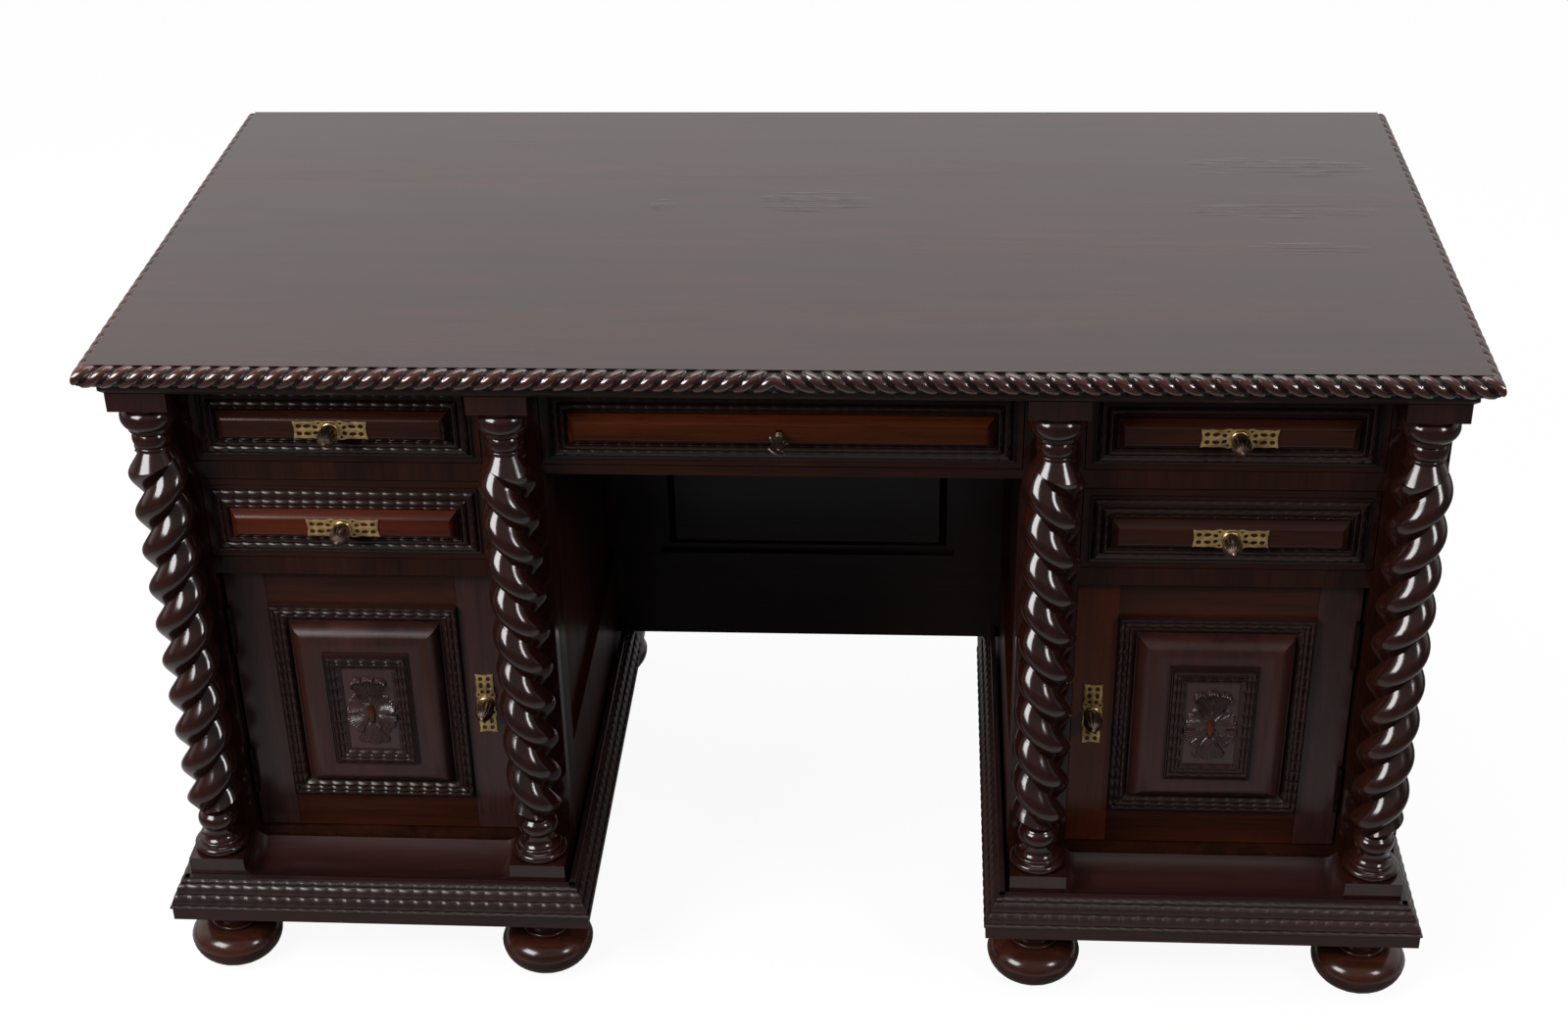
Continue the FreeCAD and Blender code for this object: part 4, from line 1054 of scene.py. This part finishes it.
# %% A flat pierced sheet
def sheet_from_outlines(outlines, thickness, edge):
    """Fills closed outlines given in mm; the later ones pierce the first."""
    curve = bpy.data.curves.new("sheet", "CURVE")
    curve.dimensions = "2D"
    curve.fill_mode = "BOTH"
    curve.extrude = (thickness / 2 - edge) / 1000
    curve.bevel_depth = edge / 1000
    curve.bevel_resolution = 1
    for outline in outlines:
        spline = curve.splines.new("POLY")
        spline.points.add(len(outline) - 1)
        spline.use_cyclic_u = True
        for point, (x, y) in zip(spline.points, outline):
            point.co = (x / 1000, y / 1000, 0, 1)
    holder = bpy.data.objects.new("sheet", curve)
    bpy.context.scene.collection.objects.link(holder)
    bpy.context.view_layer.update()
    mesh = bpy.data.meshes.new_from_object(holder)
    bm = bmesh.new()
    bm.from_mesh(mesh)
    bmesh.ops.remove_doubles(bm, verts=bm.verts, dist=2 * merge_distance)
    bmesh.ops.recalc_face_normals(bm, faces=bm.faces)
    bpy.data.meshes.remove(mesh)
    bpy.data.objects.remove(holder)
    bpy.data.curves.remove(curve)
    return bm


def oval(x, y, radius_x, radius_y, tilt=0.0, count=14):
    turn = math.radians(tilt)
    points = []
    for step in range(count):
        angle = 2 * math.pi * step / count
        a, b = radius_x * math.cos(angle), radius_y * math.sin(angle)
        points.append((x + a * math.cos(turn) - b * math.sin(turn),
                       y + a * math.sin(turn) + b * math.cos(turn)))
    return points


# One quarter of the plate: its edge from the right end to the middle of the top, and its holes as
# (x, y, half width, half height, tilt in degrees), in mm.
plate_quarter = [
    (38.0, 0.0), (37.4, 2.0), (38.2, 4.6), (38.6, 7.4), (38.9, 10.1), (36.4, 9.5), (33.0, 9.2), (29.0, 9.7),
    (25.0, 9.6), (21.0, 9.1), (17.0, 9.4), (14.2, 10.3), (12.0, 10.9), (9.6, 10.7), (8.0, 9.8), (5.5, 9.8),
    (2.5, 10.2), (0.0, 10.4)]
plate_edge = (plate_quarter + [(-x, y) for x, y in reversed(plate_quarter[1:-1])] + [(-38.0, 0.0)]
              + [(-x, -y) for x, y in plate_quarter[1:-1]] + [(0.0, -10.2)]
              + [(x, -y) for x, y in reversed(plate_quarter[1:-1])])
quarter_holes = [(32.8, 4.4, 3.2, 2.9, 0), (23.8, 4.4, 4.3, 2.6, -7),
                 (15.4, 3.4, 3.0, 2.5, 20), (11.6, 7.9, 1.9, 1.7, 0)]
plate_holes = [oval(across * x, up * y, half_width, half_height, across * up * tilt)
               for across in (-1, 1) for up in (-1, 1)
               for x, y, half_width, half_height, tilt in quarter_holes]
print("the plate has", len(plate_holes), "holes")

# %% A fluted acorn
# A profile is a row of (height, radius), in mm.
knob_profile = [
    (0.0, 5.2), (2.0, 5.0), (4.0, 5.2), (5.0, 8.6), (6.2, 9.3), (7.4, 8.6), (8.4, 8.4), (10.0, 9.8),
    (13.0, 10.6), (17.0, 10.7), (21.0, 9.8), (25.0, 8.0), (28.5, 5.6), (31.0, 3.2), (32.6, 2.4), (33.8, 1.2)]
collar_profile = [(0.0, 9.6), (1.2, 9.9), (2.6, 9.4), (3.4, 8.2), (3.6, 6.4), (3.0, 5.4)]
acorn_flutes, acorn_flute_cut = 14, 0.13
# The flutes start and end at these heights, and run in and out over these lengths, in mm.
flutes_start, flutes_end, run_in, run_out = 9, 33.5, 3, 2


def spun_profile(profile, steps):
    bm = bmesh.new()
    verts = [bm.verts.new((radius / 1000, 0, height / 1000)) for height, radius in profile]
    for first, second in zip(verts, verts[1:]):
        bm.edges.new((first, second))
    bmesh.ops.spin(bm, geom=bm.verts[:] + bm.edges[:], cent=(0, 0, 0), axis=(0, 0, 1),
                   angle=2 * math.pi, steps=steps, use_merge=True)
    bmesh.ops.holes_fill(bm, edges=[edge for edge in bm.edges if edge.is_boundary], sides=0)
    bmesh.ops.recalc_face_normals(bm, faces=bm.faces)
    return bm


def fluted_acorn():
    bm = spun_profile(knob_profile, acorn_flutes * 6)
    for vert in bm.verts:
        height = vert.co.z * 1000
        if height > flutes_start:
            wave = 0.5 + 0.5 * math.cos(acorn_flutes * math.atan2(vert.co.y, vert.co.x))
            running = min(1, (height - flutes_start) / run_in) * min(1, (flutes_end - height) / run_out)
            factor = 1 - acorn_flute_cut * running * wave
            vert.co.x *= factor
            vert.co.y *= factor
    return bm


print("the acorn is", knob_profile[-1][0], "mm long, with", acorn_flutes, "flutes")

# %% Mount the pulls
plate_thickness, plate_rounding = 1.6, 0.3
collar_seat = 0.0014


def pull_parts(front, upright):
    """A plate, a collar and an acorn on the place that front stands for."""
    turn = Matrix.Rotation(math.radians(90 if upright else 0), 4, "Z")
    plate = sheet_from_outlines([plate_edge] + plate_holes, plate_thickness, plate_rounding)
    plate.transform(front @ turn @ Matrix.Translation((0, 0, plate_thickness / 2000)))
    collar, acorn = spun_profile(collar_profile, 40), fluted_acorn()
    for turned_part in (collar, acorn):
        turned_part.transform(front @ Matrix.Translation((0, 0, collar_seat)))
    return plate, collar, acorn


pulls = drawers[:-1] + [side + "_door" for side in sides]
pull_metals = (("plate", brass_plate), ("collar", brass_collar), ("acorn", bronze_knob))
for owner in pulls:
    low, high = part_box(owner + "_pull")
    shapes = pull_parts(against_front(low, high, high[1]), owner.endswith("door"))
    for shape, (label, metal) in zip(shapes, pull_metals):
        piece = finished(owner + "_pull_" + label, shape, metal, 40)
        if label == "plate":
            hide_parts(owner + "_pull")
        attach(piece, owner)
print("pulls on", ", ".join(pulls))

# %% [markdown]
# ## The key
# The key that stands in the middle drawer is a small casting of worn pale metal: a round shank with two
# collars, a bit inside the lock, and a flat pierced bow with knobbed shoulders, which points forward and
# leans a little. The bow is a pierced sheet like the plates, only thicker and rounder at its edges.

# %% Cut the key
# Half of the bow's outline, from its root to its tip, in mm.
bow_half = [
    (2.4, 0.0), (4.2, 1.2), (6.6, 0.6), (8.8, 2.0), (9.0, 4.4), (7.4, 5.6), (7.8, 7.6), (6.6, 9.4),
    (5.6, 12.0), (5.4, 16.5), (6.0, 20.5), (7.6, 23.0), (9.0, 25.5), (8.8, 28.6), (6.6, 30.2), (5.0, 32.6),
    (2.4, 33.4), (0.0, 34.0)]
bow_edge = bow_half + [(-x, y) for x, y in reversed(bow_half[:-1])]
bow_holes = [oval(2.3, 13.0, 1.1, 5.2, -6), oval(-2.3, 13.0, 1.1, 5.2, 6), oval(0, 25.5, 2.6, 2.4),
             oval(5.2, 5.2, 1.2, 1.2), oval(-5.2, 5.2, 1.2, 1.2),
             oval(5.4, 26.6, 1.3, 1.6), oval(-5.4, 26.6, 1.3, 1.6)]
bow_length, bow_thickness, bow_rounding = 0.034, 2.6, 0.9
bit_half_width, bit_length, bit_reach, bit_ease = 0.001, 0.0069, 0.0072, 0.0003
key_lean = 20.0
key_low, key_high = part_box("key")
key_end = key_high[1]
bow_start = key_low[1] + bow_length
shank_length = (key_end - bow_start) * 1000
# The collars, as (distance from the bow, radius) in mm.
collars = [(8.6, 2.4), (8.0, 3.8), (6.6, 3.9), (6.0, 2.8), (4.2, 2.8), (3.6, 4.1), (1.6, 4.1), (0.8, 2.6)]
shank_profile = ([(0.0, 2.2), (0.4, 2.4)] + [(shank_length - back, radius) for back, radius in collars]
                 + [(shank_length, 2.4)])

key_shape = sheet_from_outlines([bow_edge] + bow_holes, bow_thickness, bow_rounding)
key_shape.transform(Matrix.Translation((0, bow_start, 0)) @ Matrix.Rotation(math.radians(180), 4, "X"))
join_into(key_shape, spun_profile(shank_profile, 24), Matrix.Translation((0, key_end, 0)) @ stood_up)
bit = eased_board((-bit_half_width, key_end - bit_length, -bit_reach), (bit_half_width, key_end, 0), bit_ease)
join_into(key_shape, bit, Matrix.Identity(4))
key_shape.transform(Matrix.Translation((0, 0, keyhole.z)) @ Matrix.Rotation(math.radians(key_lean), 4, "Y"))
piece = finished("key_cast", key_shape, key_metal, 40)
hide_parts("key")
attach(piece, "key")
bow_tip = min(vert.co.y for vert in piece.data.vertices)
print("the bow reaches forward to y", round(bow_tip, 4), "and the solid to", key_low[1])

# %% [markdown]
# ## The plain solids
# The top, the carcass, the columns, the feet, the drawers' boxes, the hinges and the lock keep the shape
# that they have in the imported model. They only need their finish, with the grain along each board: the
# glossy outside, a duller wood in the kneehole, with painted shade on its back panel, plain unpolished
# wood inside, and metal.

# %% Dress the solids
dressed = []


def dress(material, *names):
    for name in names:
        slots = nodes[name].data.materials
        slots.clear()
        slots.append(material)
        dressed.append(name)


dress(woods["polished_top"], "top_board")
dress(woods["polished_foot"], "feet")
dress(woods["polished_rail"], "centre_drawer_frame")
dress(woods["polished_plinth"], "top_subframe")
# The modesty panel's greyer polish is painted shade.
dress(woods["polished_painted_shade"], "modesty_panel")
for side in sides:
    dress(woods["polished_turning"], side + "_outer_column", side + "_inner_column")
    dress(woods["polished_upright"], side + "_face_frame", side + "_outer_side", side + "_back_panel")
    dress(woods["polished_knee_side"], side + "_inner_side")
    dress(woods["base_board"], side + "_base_plate")
    dress(woods["plain_drawer_wood"], side + "_carcass_boards")
    for level in ("upper", "lower"):
        dress(woods["plain_drawer_wood"], side + "_" + level + "_drawer_box")
    dress(hinge_patina, side + "_door_hinges", side + "_hinge_leaves")
dress(woods["plain_drawer_wood"], "centre_drawer_box")
dress(brass_plate, "lock_case")
dress(bolt_steel, "lock_bolt")
print(len(dressed), "solids keep their shape")

# %% Finish
low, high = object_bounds()
print("box of the dressed desk", [round(v, 4) for v in low], [round(v, 4) for v in high])
